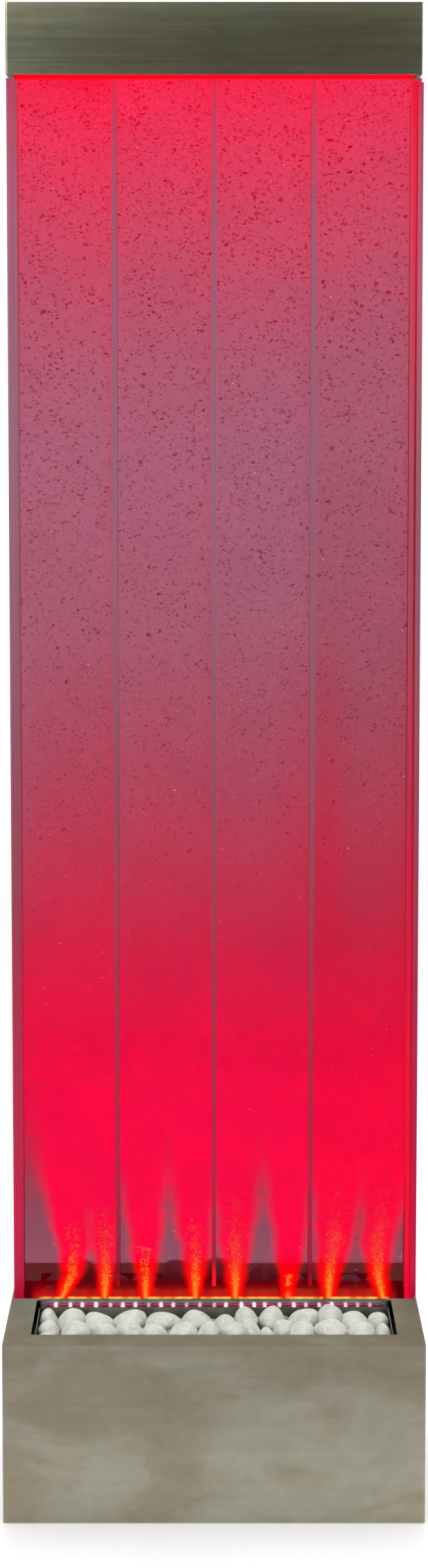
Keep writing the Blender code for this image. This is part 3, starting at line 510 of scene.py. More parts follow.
def lit_bottom_bar(mat):
    """The clear bar under the water, where the light enters, with painted yellow light along its
    lower edge.
    """
    lo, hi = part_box("tank_bottom_bar")
    # Close rows at its foot, for the yellow line.
    levels = (0.0, 0.0012, 0.0020, 0.0028, 0.0036, 0.005, 0.008, hi.z - lo.z)
    zs = lo.z + np.array(levels)
    xs = steps(lo.x, hi.x, 0.0016)
    x, z, front = grid(xs, zs)
    verts = np.concatenate([np.stack([x, np.full_like(x, y), z], -1) for y in (lo.y, hi.y)])
    nx, nz, layer = len(xs), len(zs), len(x)
    back = front[:, ::-1] + layer
    row = np.arange(nx - 1)
    top = row + nx * (nz - 1)
    lid = np.stack([top, top + 1, top + 1 + layer, top + layer], -1)
    base = np.stack([row + layer, row + 1 + layer, row + 1, row], -1)
    up = np.arange(nz - 1) * nx
    left = np.stack([up, up + nx, up + nx + layer, up + layer], -1)
    right = np.stack([up + nx - 1 + layer, up + 2 * nx - 1 + layer, up + 2 * nx - 1,
                      up + nx - 1], -1)
    mesh = mesh_from("lit_bottom_bar", verts, np.concatenate(
        [front, back, lid, base, left, right]))
    mesh.set_sharp_from_angle(angle=math.radians(40))
    both_x = np.concatenate([x, x])
    both_z = np.concatenate([z, z])
    glow, clear = water_colours(both_x, both_z)
    gap = np.ones_like(both_x)
    for nozzle in NOZZLES:
        gap *= smooth(0.0035, 0.0065, np.abs(both_x - nozzle))
    ends = smooth(0.222, 0.214, np.abs(both_x))
    line = (smooth(lo.z + 0.0029, lo.z + 0.0011, both_z) * gap * ends)[:, None]
    uneven = 0.70 + 0.25 * np.sin(both_x * 131.0) + 0.22 * np.sin(both_x * 417.0 + 1.0)
    line = line * np.clip(uneven, 0.2, 1.0)[:, None]
    yellow = np.array((1.5, 0.70, 0.09))
    glow = glow * (1 - line) + yellow * line
    paint(mesh, "glow", glow)
    paint(mesh, "clear", clear * 0.35)
    bar = no_light(link_object("lit_bottom_bar", mesh, mat))
    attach(bar, "stand")
    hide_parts("tank_bottom_bar")


# ---------------- acrylic
DIVIDER_TONES = tones(
    (0.235, 160, 6, 22), (0.258, 132, 10, 26), (0.270, 160, 30, 57), (0.330, 172, 33, 62),
    (0.385, 172, 36, 66), (0.456, 163, 41, 67), (0.546, 162, 46, 70), (0.652, 154, 56, 75),
    (0.757, 149, 69, 86), (0.861, 143, 79, 95), (0.965, 142, 87, 102), (1.068, 142, 93, 109),
    (1.273, 143, 100, 118), (1.475, 145, 95, 116), (1.576, 152, 88, 109), (1.676, 186, 66, 95),
    (1.725, 228, 38, 72), (1.755, 245, 20, 50))
LEFT_TONES = tones(
    (0.2193, 170, 6, 40), (0.250, 182, 35, 68), (0.300, 196, 34, 74), (0.456, 180, 44, 73),
    (0.652, 163, 56, 76), (0.757, 149, 72, 88), (0.861, 148, 79, 95), (0.965, 147, 87, 103),
    (1.068, 146, 95, 110), (1.273, 148, 104, 122), (1.475, 158, 100, 122), (1.576, 168, 97, 120),
    (1.676, 178, 84, 108), (1.7292, 182, 66, 97), (1.785, 190, 50, 80))
RIGHT_TONES = tones(
    (0.2193, 165, 6, 40), (0.250, 189, 32, 72), (0.300, 190, 20, 64), (0.456, 187, 26, 62),
    (0.652, 160, 50, 70), (0.757, 154, 60, 79), (0.861, 148, 70, 85), (0.965, 146, 80, 92),
    (1.068, 142, 88, 99), (1.273, 152, 92, 104), (1.475, 176, 90, 108), (1.576, 170, 90, 110),
    (1.676, 174, 80, 103), (1.7292, 190, 50, 80), (1.785, 200, 40, 70))


def light_guide(t, colour, uneven):
    """Acrylic that gives off a colour, slightly unevenly along its length."""
    flow = t.noise(1.0, 2.0, 0.5, (420.0, 60.0, 3.0))
    light = t.scaled(colour, t.uneven(flow, 1.0 - uneven, 1.0 + uneven))
    return t.finish(t.principled(Base_Color=(0.02, 0.004, 0.008), Roughness=0.12,
                                 Specular_IOR_Level=0.0, Emission_Color=light,
                                 Emission_Strength=1.0))


def edge_lit(name, stops, stripes, outer_x, way):
    """Thick acrylic that carries the light up its length. stripes are (share of a side
    bar's width from outer_x, brightness); way is 1 where that runs toward -X."""
    t = Tree(name)
    x, _, z = t.axes()
    colour = t.by_height(z, stops)
    inward = t.span(x, outer_x, outer_x - way * SIDE_BAR, steps="LINEAR")
    lines = t.ramp(inward, greys(*stripes))
    colour = t.mix(1.0, colour, lines, "MULTIPLY")
    return light_guide(t, colour, 0.06)


def red_strip(name):
    """The right bar: the left's look, with a painted red highlight and a darker red line inside
    it.
    """
    t = Tree(name)
    x, _, z = t.axes()
    colour = t.by_height(z, RIGHT_TONES)
    inward = t.span(x, TANK_HALF_W, TANK_HALF_W - SIDE_BAR, steps="LINEAR")
    lines = t.ramp(inward, greys((0.0, 0.9), (0.08, 1.1), (0.3, 1.0), (0.42, 0.95), (0.5, 0.8),
                                 (1.0, 1.0)))
    colour = t.mix(1.0, colour, lines, "MULTIPLY")
    # Painted highlight: a bright red line inside the bar, with a darker red line beside it.
    red = t.by_height(z, tones(
        (0.2193, 248, 2, 30), (0.300, 253, 12, 36), (0.456, 248, 3, 46),
        (0.757, 215, 20, 60), (0.861, 195, 44, 72), (1.068, 172, 66, 84),
        (1.273, 180, 74, 90), (1.475, 200, 60, 82), (1.576, 234, 40, 70),
        (1.725, 250, 5, 50)))
    dark = t.by_height(z, tones(
        (0.2193, 215, 0, 40), (0.456, 185, 14, 46), (0.757, 188, 4, 46),
        (1.068, 138, 24, 42), (1.273, 130, 22, 38), (1.576, 216, 10, 46),
        (1.725, 240, 2, 40)))
    in_dark = t.ramp(inward, greys((0.30, 0.0), (0.38, 1.0), (0.52, 1.0), (0.60, 0.0)))
    in_red = t.ramp(inward, greys((0.52, 0.0), (0.62, 1.0), (0.82, 1.0), (1.0, 0.25)))
    colour = t.mix(in_red, colour, red)
    colour = t.mix(in_dark, colour, dark)
    return light_guide(t, colour, 0.05)


def clear_sheet():
    """Polished clear acrylic: almost nothing but its shine and a trace of dried splashes."""
    t = Tree("clear_acrylic")
    shine = t.add("Fresnel", {0: 1.49}).outputs[0]
    outside = t.math("SUBTRACT", 1.0, t.geometry("Backfacing"))
    share = t.times(shine, outside, 0.06)
    spots = t.span(t.noise(240.0, 2.0, 0.5), 0.66, 0.74, 0.0, 0.006)
    share = t.math("ADD", share, t.times(spots, outside))
    gloss = t.add("BsdfGlossy", {0: (1.0, 0.97, 0.98),
                                 "Roughness": t.uneven(t.noise(20.0), 0.03, 0.07)})
    through = t.add("BsdfTransparent", {0: (1.0, 1.0, 1.0)})
    return t.finish(t.add("MixShader", {0: share, 1: through.outputs[0], 2: gloss.outputs[0]}))


# ---------------- bubbles
def ball(level):
    """(corners, faces) of a ball of radius 1."""
    bm = bmesh.new()
    bmesh.ops.create_icosphere(bm, subdivisions=level, radius=1.0)
    verts = np.array([v.co for v in bm.verts])
    faces = np.array([[v.index for v in f.verts] for f in bm.faces])
    bm.free()
    return verts, faces


def octahedron():
    """A ball of eight faces, for the smallest bubbles."""
    verts = np.array([(1, 0, 0), (-1, 0, 0), (0, 1, 0), (0, -1, 0), (0, 0, 1), (0, 0, -1)])
    faces = np.array([(a, b, c) if (a + b) % 2 == 0 else (b, a, c)
                      for a, b in ((0, 2), (2, 1), (1, 3), (3, 0)) for c in (4, 5)])
    return verts * 1.12, faces


def swarm_mesh(name, centres, radii, turns, template, rng):
    """Many uneven bubbles as one mesh."""
    base, faces = template
    count = len(centres)
    dents = 1.0 + 0.10 * rng.standard_normal((count, len(base), 1))
    points = base[None] * radii[:, None, :] * dents
    c, s = np.cos(turns)[:, None], np.sin(turns)[:, None]
    x = points[..., 0] * c - points[..., 2] * s
    z = points[..., 0] * s + points[..., 2] * c
    points = np.stack([x, points[..., 1], z], -1) + centres[:, None, :]
    every = faces[None] + (np.arange(count) * len(base))[:, None, None]
    return mesh_from(name, points.reshape(-1, 3), every.reshape(-1, faces.shape[1]))


def bubble_material():
    """Air in lit water: a soft dark spot with a faint painted highlight on its upper left side;
    the spots are deepest near the top.
    """
    t = Tree("bubble")
    z = t.axes()[2]
    outside = t.math("SUBTRACT", 1.0, t.geometry("Backfacing"))
    dark = t.by_height(z, (
        (0.30, (0.90, 0.82, 0.86)), (0.60, (0.82, 0.66, 0.74)), (0.85, (0.76, 0.52, 0.60)),
        (1.05, (0.74, 0.44, 0.52)), (1.35, (0.76, 0.36, 0.44)), (1.55, (0.80, 0.20, 0.32)),
        (1.76, (0.84, 0.08, 0.22))))
    rim = t.span(t.add("LayerWeight", {"Blend": 0.5}).outputs["Facing"], 0.25, 0.95, 1.0, 0.0)
    share = t.span(t.geometry("Random Per Island"), 0.0, 1.0, 1.0, 0.25)
    share = t.times(share, rim, outside)
    through = t.add("BsdfTransparent", {0: t.mix(share, (1.0, 1.0, 1.0), dark)})
    # Painted highlight: the upper left side of each bubble glows faintly, less so high in the
    # tank.
    way = t.add("SeparateXYZ", {0: t.geometry("Normal")})
    shine = t.span(t.math("SUBTRACT", way.outputs[2], way.outputs[0]), 0.75, 1.35)
    shine = t.times(shine, outside, t.span(z, 1.1, 1.4, 1.0, 0.2))
    light = t.add("Emission", {0: (0.13, 0.045, 0.06), 1: shine})
    return t.finish(t.add("AddShader", {0: light.outputs[0], 1: through.outputs[0]}))


BUBBLES_FROM = 0.29
WALL_GAP = 0.002                    # kept between bubbles and a channel's walls
PAIRED = 0.45                       # the share of bubbles set close to the one before


def scatter(rng, x0, x1, count, y0, y1, lift):
    """Bubble centres in one channel, some in pairs."""
    x = rng.uniform(x0, x1, count)
    z = BUBBLES_FROM + (WATER_TOP - 0.004 - BUBBLES_FROM) * rng.random(count) ** lift
    paired = rng.random(count) < PAIRED
    x[1:] = np.where(paired[1:], x[:-1] + rng.normal(0.0, 0.0026, count - 1), x[1:])
    z[1:] = np.where(paired[1:], z[:-1] + rng.normal(0.0, 0.0016, count - 1), z[1:])
    x = np.clip(x, x0, x1)
    return np.stack([x, rng.uniform(y0, y1, count), z], -1)


# Kind, how many in a channel, half size low and high in the tank, spread: under 1 is thicker
# toward the top.
SWARMS = (("large", 420, 0.0010, 0.00160, 0.80), ("medium", 4600, 0.0009, 0.00130, 0.80),
          ("small", 2600, 0.0007, 0.00105, 0.90))


def bubbles():
    """The rising air, before and behind the lit water."""
    rng = np.random.default_rng(11)
    shapes = {"large": ball(2), "medium": ball(1), "small": octahedron()}
    mat = bubble_material()
    zones = (("front", FRONT_SHEET_BACK + 0.003, GLOW_Y - 0.003, 1.0),
             ("rear", GLOW_Y + 0.003, REAR_SHEET_FRONT - 0.003, 0.15))
    for side, y0, y1, share in zones:
        for i, (x0, x1) in enumerate(CHANNELS):
            for kind, count, low_size, high_size, lift in SWARMS:
                count = int(count * share)
                at = scatter(rng, x0 + WALL_GAP, x1 - WALL_GAP, count, y0, y1, lift)
                big = smooth(0.5, 1.2, at[:, 2])
                size = low_size + (high_size - low_size) * big
                size = size * rng.lognormal(0.0, 0.24, count)
                radii = np.stack([size * rng.uniform(0.9, 1.7, count), size * 0.9,
                                  size * rng.uniform(0.6, 1.0, count)], -1)
                turns = rng.normal(0.0, 0.5, count)
                mesh = swarm_mesh("bubbles", at, radii, turns, shapes[kind], rng)
                swarm = link_object("bubbles_%s_%s_%d" % (kind, side, i + 1), mesh, mat)
                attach(no_light(swarm), "stand")


def glints():
    """Painted glints: small glowing specks for the few bubbles that catch a lamp."""
    rng = np.random.default_rng(29)
    t = Tree("bubble_glint")
    island = t.geometry("Random Per Island")
    colour = t.mix(t.span(island, 0.78, 0.92), srgb(206, 92, 116), srgb(255, 215, 225))
    mat = t.finish(t.add("Emission", {0: colour}))
    count = 520
    channel = rng.integers(0, 4, count)
    at = np.zeros((count, 3))
    for i, (x0, x1) in enumerate(CHANNELS):
        mine = channel == i
        at[mine, 0] = rng.uniform(x0 + WALL_GAP, x1 - WALL_GAP, mine.sum())
    at[:, 1] = rng.uniform(FRONT_SHEET_BACK + 0.0015, GLOW_Y - 0.004, count)
    at[:, 2] = 0.27 + (WATER_TOP - 0.28) * rng.random(count) ** 1.5
    size = rng.uniform(0.00025, 0.00055, count)
    radii = np.stack([size, size, size], -1)
    mesh = swarm_mesh("bubble_glints", at, radii, np.zeros(count), ball(1), rng)
    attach(no_light(link_object("bubble_glints", mesh, mat)), "stand")


PLUME_BUBBLES = 6500                # for each metre of a plume's core


def plume_bubbles():
    """Fine bubbles packed above each nozzle, glowing with painted lamp light: yellow near it and
    red higher up.
    """
    rng = np.random.default_rng(5)
    t = Tree("plume_bubble")
    z = t.axes()[2]
    island = t.geometry("Random Per Island")
    hot = t.by_height(z, tones((0.222, 255, 190, 56), (0.243, 255, 142, 40),
                               (0.270, 255, 104, 44), (0.320, 253, 62, 60),
                               (0.380, 251, 18, 62)))
    deep = t.by_height(z, tones((0.222, 250, 60, 6), (0.275, 240, 26, 24),
                                (0.380, 228, 6, 54)))
    light = t.add("Emission", {0: t.mix(t.span(island, 0.25, 0.85), deep, hot)})
    soft = t.span(t.add("LayerWeight", {"Blend": 0.5}).outputs["Facing"], 0.0, 0.85, 0.62, 1.0)
    mat = t.finish(t.add("MixShader", {0: soft, 1: light.outputs[0],
                                       2: t.add("BsdfTransparent").outputs[0]}))
    for i, reach in enumerate(CORE_REACH):
        count = int(PLUME_BUBBLES * reach)
        up = rng.random(count) ** 1.25 * reach * 1.15
        zs = TANK_BOTTOM + 0.013 + up
        spread = 0.0022 + 0.080 * up
        xs = plume_middle(i, zs) + rng.normal(0.0, 1.0, count) * spread * 0.75
        x0, x1 = CHANNELS[int(np.searchsorted([c[1] for c in CHANNELS], NOZZLES[i]))]
        xs = np.clip(xs, x0 + WALL_GAP, x1 - WALL_GAP)
        ys = GLOW_Y - 0.0015 - np.abs(rng.normal(0.0, 0.002, count))
        size = rng.uniform(0.0006, 0.0014, count)
        radii = np.stack([size * rng.uniform(0.9, 1.6, count), size, size], -1)
        turns = rng.uniform(-0.7, 0.7, count)
        mesh = swarm_mesh("plume", np.stack([xs, ys, zs], -1), radii, turns, ball(1), rng)
        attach(no_light(link_object("plume_bubbles_%d" % (i + 1), mesh, mat)), "stand")


# ---------------- pebbles
# The stones that show: x, y, half width, top height, as they lie in the trays.
FRONT_STONES = (
    (-0.2045, -0.028, 0.0115, 0.2170), (-0.1775, -0.034, 0.0178, 0.2205),
    (-0.1422, -0.033, 0.0200, 0.2145), (-0.1052, -0.033, 0.0210, 0.2180),
    (-0.0627, -0.034, 0.0238, 0.2160), (-0.0220, -0.033, 0.0205, 0.2160),
    (0.0133, -0.032, 0.0175, 0.2130), (0.0408, -0.033, 0.0145, 0.2195),
    (0.0720, -0.033, 0.0160, 0.2210), (0.1112, -0.034, 0.0190, 0.2205),
    (0.1430, -0.032, 0.0170, 0.2255), (0.1728, -0.034, 0.0195, 0.2165),
    (0.2035, -0.033, 0.0128, 0.2175),
    (-0.2030, -0.070, 0.0132, 0.2165), (-0.2030, -0.108, 0.0132, 0.2135),
    (-0.1685, -0.094, 0.0190, 0.2230), (-0.1347, -0.096, 0.0175, 0.2225),
    (-0.1023, -0.094, 0.0180, 0.2235), (-0.0726, -0.096, 0.0160, 0.2215),
    (-0.0382, -0.095, 0.0190, 0.2210), (-0.0066, -0.094, 0.0142, 0.2230),
    (0.0232, -0.096, 0.0172, 0.2210), (0.0440, -0.094, 0.0140, 0.2225),
    (0.0650, -0.100, 0.0120, 0.2165), (0.0847, -0.092, 0.0120, 0.2235),
    (0.1057, -0.096, 0.0180, 0.2225), (0.1429, -0.094, 0.0205, 0.2235),
    (0.1800, -0.096, 0.0170, 0.2225), (0.2055, -0.095, 0.0112, 0.2205),
)
REAR_STONES = (
    (-0.2035, 0.097, 0.0125, 0.2290), (-0.1655, 0.098, 0.0185, 0.2460),
    (-0.1265, 0.097, 0.0195, 0.2280), (-0.0870, 0.100, 0.0195, 0.2265),
    (-0.0470, 0.098, 0.0190, 0.2465), (0.0010, 0.098, 0.0190, 0.2475),
    (0.0340, 0.096, 0.0150, 0.2290), (0.0640, 0.099, 0.0175, 0.2410),
    (0.1000, 0.098, 0.0190, 0.2260), (0.1385, 0.099, 0.0195, 0.2310),
    (0.1755, 0.098, 0.0180, 0.2265), (0.2035, 0.098, 0.0125, 0.2235),
)
STONE_HALF_H = 0.0175
STONE_SPREAD = 1.06                 # the stones are this much wider than listed
STONE_CORNERS = 14


def stone_mesh(name, rng, softness):
    """A tumbled stone, 2 wide each way: an uneven hull, smoothed until its facets are soft."""
    bm = bmesh.new()
    golden = math.pi * (3.0 - math.sqrt(5.0))
    spin = rng.uniform(0.0, 2 * math.pi)
    for i in range(STONE_CORNERS):
        height = 1.0 - 2.0 * (i + 0.5) / STONE_CORNERS
        ring = math.sqrt(1.0 - height * height)
        point = Vector((ring * math.cos(golden * i + spin), ring * math.sin(golden * i + spin),
                        height))
        point = (point + Vector(rng.uniform(-0.30, 0.30, 3))).normalized()
        bm.verts.new(point * rng.uniform(0.80, 1.0))
    hull = bmesh.ops.convex_hull(bm, input=bm.verts)
    spare = [v for v in hull["geom_interior"] if isinstance(v, bmesh.types.BMVert)]
    bmesh.ops.delete(bm, geom=spare, context="VERTS")
    obj = from_bmesh(name, bm)
    mod = obj.modifiers.new("soft", "SUBSURF")
    mod.levels = softness
    mod.render_levels = softness
    mesh = evaluated_mesh(obj)
    points = np.array([v.co for v in mesh.vertices])
    points = points - (points.max(0) + points.min(0)) / 2
    points = points / (np.abs(points).max(0))
    mesh.vertices.foreach_set("co", points.astype(np.float32).ravel())
    return mesh


def place_stone(name, mat, body, rng, x, y, half_w, half_d, half_h, top, turn, tilt=0.0,
                softness=3):
    mesh = stone_mesh(name, rng, softness)
    mesh.transform(Matrix.Diagonal((half_w, half_d, half_h, 1.0)))
    mesh.transform(Matrix.Rotation(tilt, 4, "Y") @ Matrix.Rotation(turn, 4, "Z"))
    crest = max(v.co.z for v in mesh.vertices)
    mesh.transform(Matrix.Translation((x, y, top - crest)))
    mesh.shade_smooth()
    obj = link_object(name, mesh, mat)
    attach(obj, body)
    return obj


def pebbles(side, stones, tray, half_d, mat, under, seed):
    """Each stone that shows, and the small ones under and between them."""
    rng = np.random.default_rng(seed)
    lo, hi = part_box(tray)
    wall, room_in_corner, near_end = 0.0022, 0.019, 0.19
    for i, (x, y, half_w, top) in enumerate(stones):
        room = min(half_d, hi.y - wall - y, y - lo.y - wall)
        if abs(x) > 0.2 and y < -0.05:
            room = min(room, room_in_corner)
        # A stone at a tray's end lies straight, so that it stays inside the tray.
        turn = 0.0 if abs(x) > near_end else math.radians(rng.uniform(-7, 7))
        tilt = 0.0 if abs(x) > near_end else math.radians(rng.uniform(-9, 9))
        place_stone("%s_stone_%02d" % (side, i + 1), mat, tray, rng, x, y,
                                half_w * STONE_SPREAD, room, STONE_HALF_H, top, turn, tilt)
    columns, edge_x, edge_y = 15, 0.015, 0.016
    rows, heap = (3, 0.0) if side == "front" else (2, 0.0105)
    for r in range(rows):
        for c in range(columns):
            half = rng.uniform(0.0095, 0.0125)
            x = lo.x + edge_x + (hi.x - lo.x - 2 * edge_x) * c / (columns - 1)
            y = lo.y + edge_y + (hi.y - lo.y - 2 * edge_y) * r / (rows - 1)
            x += 0.0 if c in (0, columns - 1) else rng.uniform(-0.003, 0.003)
            # The small stones take under, a darker material: painted shade between the stones
            # that show.
            place_stone("%s_small_stone_%02d" % (side, r * columns + c + 1), under,
                                    tray, rng, x, y, half, half * 1.05, half * 0.8,
                                    rng.uniform(0.202, 0.207) + heap, rng.uniform(0.0, 0.5),
                                    softness=2)
    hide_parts("%s_pebbles" % side)


# ---------------- stem in the tank
def level_stem():
    """The thin dark stem with a round head that stands in the right channel."""
    x, y, top, head = 0.179, GLOW_Y - 0.004, BAR_TOP + 0.0205, 0.0024
    outline = [(0.0, BAR_TOP + CLEARANCE), (0.0014, BAR_TOP + CLEARANCE),
               (0.0008, BAR_TOP + 0.0016), (0.0007, top - head * 0.95)]
    arc = 6
    for i in range(arc + 1):
        turn = math.radians(-70 + 160.0 * i / arc)
        outline.append((max(head * math.cos(turn), 0.0), top + head * math.sin(turn)))
    outline[-1] = (0.0, top + head)
    bm = bmesh.new()
    verts = [bm.verts.new((x + r, y, z)) for r, z in outline]
    edges = [bm.edges.new(pair) for pair in zip(verts, verts[1:])]
    bmesh.ops.spin(bm, geom=verts + edges, cent=(x, y, 0.0), axis=(0.0, 0.0, 1.0),
                   angle=2 * math.pi, steps=16, use_merge=True, use_duplicate=False)
    bmesh.ops.remove_doubles(bm, verts=bm.verts, dist=1e-6)
    stem = from_bmesh("level_stem", bm, moulded("stem_plastic", (0.05, 0.004, 0.008), 0.4))
    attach(stem, "stand")


# ---------------- lamps
LED_PITCH = 0.0164


def from_led(t, step, middle=0.5):
    """How far a place is from its LED, in pitches; the LED is at middle within its step."""
    return t.math("ABSOLUTE", t.math("SUBTRACT", t.math("FRACT", step), middle))


def led_sleeve():
    """A soft clear sleeve over the lower strip, bright over each LED."""
    t = Tree("led_sleeve")
    x = t.axes()[0]
    step = t.math("ADD", t.math("DIVIDE", x, LED_PITCH), 0.5)
    number = t.add("TexWhiteNoise", {"W": t.math("FLOOR", step)}, noise_dimensions="1D")
    shift = t.span(number.outputs["Value"], 0.0, 1.0, 0.38, 0.62, "LINEAR")
    away = from_led(t, step, shift)
    lamp = t.ramp(away, tones((0.0, 255, 255, 255), (0.08, 255, 232, 242),
                              (0.13, 220, 100, 150), (0.19, 130, 30, 60),
                              (0.30, 110, 8, 22), (0.5, 80, 4, 16)))
    inside = t.span(t.math("ABSOLUTE", x), 0.2035, 0.2075, 1.0, 0.03)
    uneven = t.times(t.uneven(t.noise(130.0, 2.0), 0.75, 1.2),
                     t.span(number.outputs["Color"], 0.1, 0.8, 0.4, 1.7))
    light = t.scaled(lamp, t.times(inside, uneven))
    mat = t.finish(t.principled(Base_Color=(0.10, 0.02, 0.03), Roughness=0.15,
                                Emission_Color=light, Emission_Strength=1.0))
    lo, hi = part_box("bottom_led_strip")
    middle = (lo.y + hi.y) / 2
    bm = bmesh.new()
    around, along = 14, 180
    rings = []
    for k in range(along + 1):
        x = lo.x + (hi.x - lo.x) * k / along
        swell = 1.0 + 0.10 * math.cos(2 * math.pi * x / LED_PITCH)
        ring = []
        for a in range(around):
            turn = math.pi * a / (around - 1)
            ring.append(bm.verts.new((x, middle - 0.0025 * math.cos(turn),
                                      lo.z + 0.0008 + 0.0047 * swell * math.sin(turn))))
        rings.append(ring)
    for one, two in zip(rings, rings[1:]):
        for a in range(around - 1):
            bm.faces.new((one[a], one[a + 1], two[a + 1], two[a]))
        bm.faces.new((one[-1], one[0], two[0], two[-1]))
    bm.faces.new(rings[0])
    bm.faces.new(rings[-1])
    sleeve = from_bmesh("bottom_led_sleeve", bm, mat, sharp=60.0)
    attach(sleeve, "stand")
    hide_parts("bottom_led_strip")


def lamp_material(name, colour, strength, spots):
    """A lit surface, brighter over each LED."""
    t = Tree(name)
    x = t.axes()[0]
    step = t.math("ADD", t.math("DIVIDE", x, LED_PITCH), 0.5)
    away = from_led(t, step)
    level = t.times(t.span(away, 0.0, 0.5, 1.0 + spots, 1.0 - spots),
                    t.uneven(t.noise(60.0, 2.0), 0.95, 1.05))
    light = t.scaled(colour, level)
    return t.finish(t.principled(Base_Color=(0.06, 0.002, 0.004), Roughness=0.35,
                                 Specular_IOR_Level=0.0, Emission_Color=light,
                                 Emission_Strength=strength))


# ---------------- CAD nodes kept
def wear(mat, *names):
    """Gives CAD nodes that are kept as they are their finish."""
    for name in names:
        mesh = NODES[name].data
        mesh.materials.clear()
        mesh.materials.append(mat)


def base_shade(t):
    """Painted shade on the base: paler toward the floor and darkest just under its top edge."""
    z = t.axes()[2]
    return t.ramp(t.span(z, 0.0, 0.22, steps="LINEAR"), greys(
        (0.0, 1.0), (0.2, 0.92), (0.6, 0.83), (0.93, 0.74), (1.0, 0.80)))


def cap_painted_light(t):
    """Painted light and shade on the cap: brighter toward its upper edge and its left end."""
    x, _, z = t.axes()
    lo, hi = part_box("cap_shell")
    across = t.ramp(t.span(x, lo.x, hi.x, steps="LINEAR"), greys(
        (0.0, 1.0), (0.12, 0.80), (0.3, 0.62), (0.5, 0.51), (0.8, 0.47), (0.93, 0.50),
        (1.0, 0.58)))
    up = t.ramp(t.span(z, lo.z, hi.z, steps="LINEAR"), greys(
        (0.0, 0.62), (0.2, 0.58), (0.5, 0.60), (0.8, 0.80), (1.0, 1.0)))
    return t.times(across, up, 2.0)


def finishes():
    cool, warm = (0.328, 0.311, 0.247), (0.288, 0.250, 0.182)
    wear(brushed_steel("base_steel", cool, warm, shade=base_shade), "base_housing",
         "rear_door")
    wear(brushed_steel("cap_steel", (0.215, 0.220, 0.150), (0.205, 0.200, 0.135), 0.34,
                       cap_painted_light, 0.10),
         "cap_shell")
    wear(brushed_steel("tray_steel", (0.26, 0.27, 0.24), (0.24, 0.235, 0.20), 0.42),
         "front_tray", "rear_tray", "control_plate")
    wear(brushed_steel("inner_steel", (0.42, 0.43, 0.43), (0.45, 0.44, 0.42), 0.45),
         "bottom_pan", "inner_frame", "tank_beam", "hinge_bracket_top", "hinge_bracket_bottom")
    wear(metal("aluminium", (0.55, 0.55, 0.56), 0.34), "bottom_led_channel",
         "top_led_channel")
    wear(metal("brass", (0.60, 0.42, 0.16), 0.28), "drain_valve_body",
         *["air_nozzle_%d" % i for i in range(1, 9)])
    wear(moulded("black_plastic", (0.022, 0.022, 0.024), 0.42), "air_manifold",
         "air_pump_cover", "check_valve", "flow_valve_body", "flow_knob", "control_box",
         "control_box_lid", "power_inlet", "switch_housing", "door_pull", "door_magnet")
    wear(moulded("white_plastic", (0.72, 0.72, 0.70), 0.38), "air_pump_body")
    wear(moulded("red_plastic", (0.50, 0.02, 0.02), 0.30), "drain_lever", "switch_rocker")
    wear(moulded("rubber", (0.028, 0.028, 0.028), 0.75, 700.0, 0.0001), "foot_1", "foot_2",
         "foot_3", "foot_4", "pump_mat")
    wear(moulded("silicone", (0.62, 0.66, 0.66), 0.25, 300.0), "pump_hose", "riser_hose",
         "drain_hose")
    wear(moulded("ribbon", (0.60, 0.59, 0.55), 0.42, 500.0), "led_ribbon")

    red = srgb(255, 0, 26)
    wear(lamp_material("cap_lens", red, 1.0, 0.04), "cap_diffuser_front",
         "cap_diffuser_rear")
    wear(lamp_material("led_board", srgb(255, 90, 110), 1.0, 0.6), "top_led_strip")

    clear = clear_sheet()
    wear(clear, "tank_front_sheet", "tank_rear_sheet")
    flat = ((0.0, 1.0), (1.0, 1.0))
    wear(edge_lit("divider_acrylic", DIVIDER_TONES, flat, TANK_HALF_W, 1.0),
         "divider_1", "divider_3")
    middle = tones((0.235, 252, 20, 24), (0.250, 246, 14, 36), (0.264, 190, 16, 44))
    middle += DIVIDER_TONES[2:]
    wear(edge_lit("middle_divider_acrylic", middle, flat, TANK_HALF_W, 1.0), "divider_2")
    left_lines = ((0.0, 0.78), (0.08, 1.16), (0.2, 1.10), (0.3, 0.86), (0.45, 1.08),
                  (0.62, 0.86), (0.8, 1.08), (0.92, 0.80), (1.0, 0.98))
    wear(edge_lit("left_bar_acrylic", LEFT_TONES, left_lines, -TANK_HALF_W, -1.0),
         "tank_side_left")
    wear(red_strip("right_bar_acrylic"), "tank_side_right")
    # Painted light: the cable duct glows in the right bar's tones, though it is no lamp.
    wear(edge_lit("duct_painted_glow", RIGHT_TONES, flat, TANK_HALF_W, 1.0), "cable_duct")
    for name in ("tank_side_left", "tank_side_right", "divider_1", "divider_2", "divider_3",
                 "cable_duct"):
        NODES[name].visible_diffuse = False
        NODES[name].visible_glossy = False


# ---------------- studio
CAMERA_AT = (0.0, -4.032, 1.417)
CAMERA_DOWN = 6.22                  # degrees
CAMERA_LENS = 76.02
CAMERA_SHIFT = -0.054
FLOOR_SIZE = 300.0


def camera():
    data = bpy.data.cameras.new("camera")
    data.sensor_width = 36.0
    data.lens = CAMERA_LENS
    data.shift_y = CAMERA_SHIFT
    eye = bpy.data.objects.new("camera", data)
    scene.collection.objects.link(eye)
    eye.location = CAMERA_AT
    eye.rotation_euler = (math.radians(90 - CAMERA_DOWN), 0.0, 0.0)
    scene.camera = eye


def softbox(name, at, aim, size, power, colour=(1.0, 1.0, 1.0)):
    data = bpy.data.lights.new(name, "AREA")
    data.shape = "RECTANGLE"
    data.size, data.size_y = size
    data.energy = power
    data.color = colour
    lamp = bpy.data.objects.new(name, data)
    scene.collection.objects.link(lamp)
    lamp.location = at
    lamp.rotation_euler = (Vector(aim) - Vector(at)).to_track_quat("-Z", "Y").to_euler()


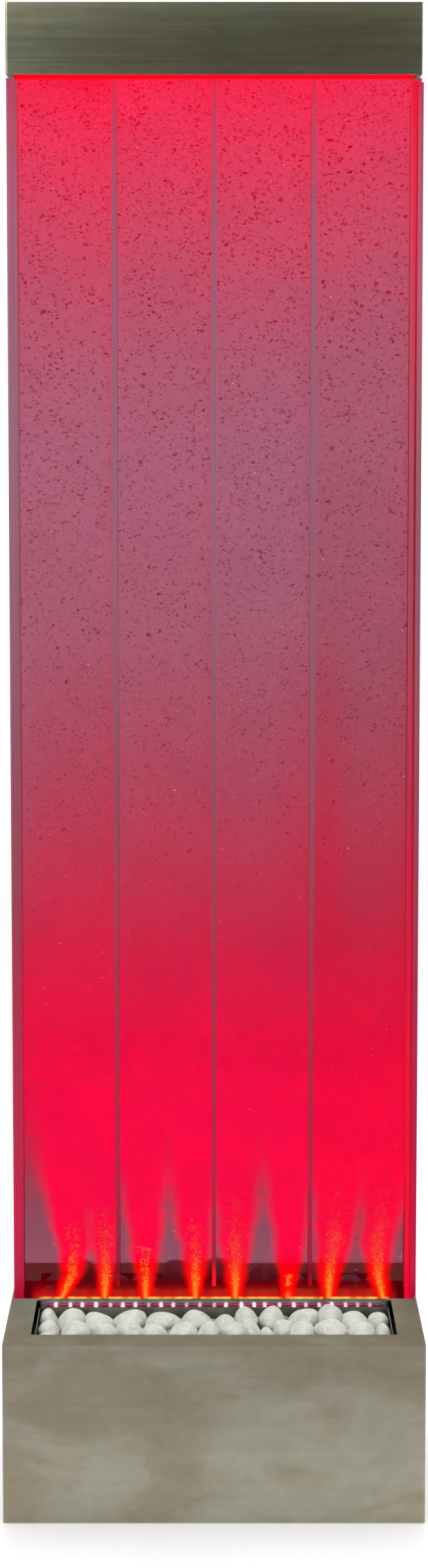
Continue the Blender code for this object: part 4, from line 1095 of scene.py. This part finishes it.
def studio():
    """A white sweep behind, a dimmer room in front and a wide light overhead, all of it
    plain white where it is seen directly."""
    t = Tree("studio", bpy.data.worlds)
    way = t.add("SeparateXYZ", {0: t.add("TexCoord").outputs["Generated"]}).outputs
    wall = t.span(way[1], -0.3, 0.75, 0.26, 1.05)
    above = t.span(way[2], 0.10, 0.34, 1.0, 0.42)
    overhead = t.span(way[2], 0.80, 0.92, 0.0, 2.6)
    level = t.math("ADD", t.times(wall, above), overhead)
    seen = t.add("LightPath").outputs["Is Camera Ray"]
    level = t.add("Mix", {0: seen, 2: level, 3: 1.0}, data_type="FLOAT").outputs[0]
    back = t.add("Background", {0: (1.0, 1.0, 1.0), 1: level})
    scene.world = t.finish(back, "OutputWorld")

    softbox("key", (-2.2, -2.6, 2.6), (0.0, 0.0, 1.0), (1.2, 1.6), 26.0)
    softbox("fill", (2.4, -2.0, 0.9), (0.0, 0.0, 0.3), (1.2, 1.2), 14.0, (1.0, 0.98, 0.95))
    softbox("rear", (0.0, 2.8, 2.4), (0.0, 0.0, 0.7), (1.6, 1.2), 9.0)


def floor():
    """A plain pale floor with painted light: it glows a little, most around the fountain's base,
    where it lightens the shadow.
    """
    t = Tree("floor")
    y = t.axes()[1]
    glow = t.times(t.span(y, -1.2, 0.3, 0.16, 0.30), t.span(y, 0.6, 2.2, 1.0, 0.4))
    tone = t.ramp(t.noise(0.8, 2.0), greys((0.3, 0.90), (0.7, 0.93)))
    mat = t.finish(t.principled(Base_Color=tone, Roughness=0.22,
                                Emission_Color=(1.0, 1.0, 1.0), Emission_Strength=glow))
    bm = bmesh.new()
    bmesh.ops.create_grid(bm, x_segments=24, y_segments=24, size=FLOOR_SIZE)
    ground = from_bmesh("floor", bm, mat)


camera()
studio()
floor()
finishes()
lit_bottom_bar(lit_water())
bubbles()
glints()
plume_bubbles()
level_stem()
white_pebble = marble("white_pebble", (0.76, 0.765, 0.70), (0.60, 0.61, 0.54),
                      (0.46, 0.46, 0.41))
# Painted shade: a darker copy of the white pebble, for the small stones under and between the
# ones that show.
shaded_pebble = marble("shaded_pebble", (0.30, 0.30, 0.27), (0.22, 0.22, 0.20),
                       (0.16, 0.16, 0.15))
# Painted shade: the rear tray's stones are dark, as they lie in shade behind the lit water.
rear_shade_pebble = marble("rear_shade_pebble", (0.10, 0.10, 0.098), (0.055, 0.055, 0.055),
                     (0.20, 0.20, 0.20))
pebbles("front", FRONT_STONES, "front_tray", 0.029, white_pebble, shaded_pebble, 3)
pebbles("rear", REAR_STONES, "rear_tray", 0.026, rear_shade_pebble, rear_shade_pebble, 8)
led_sleeve()
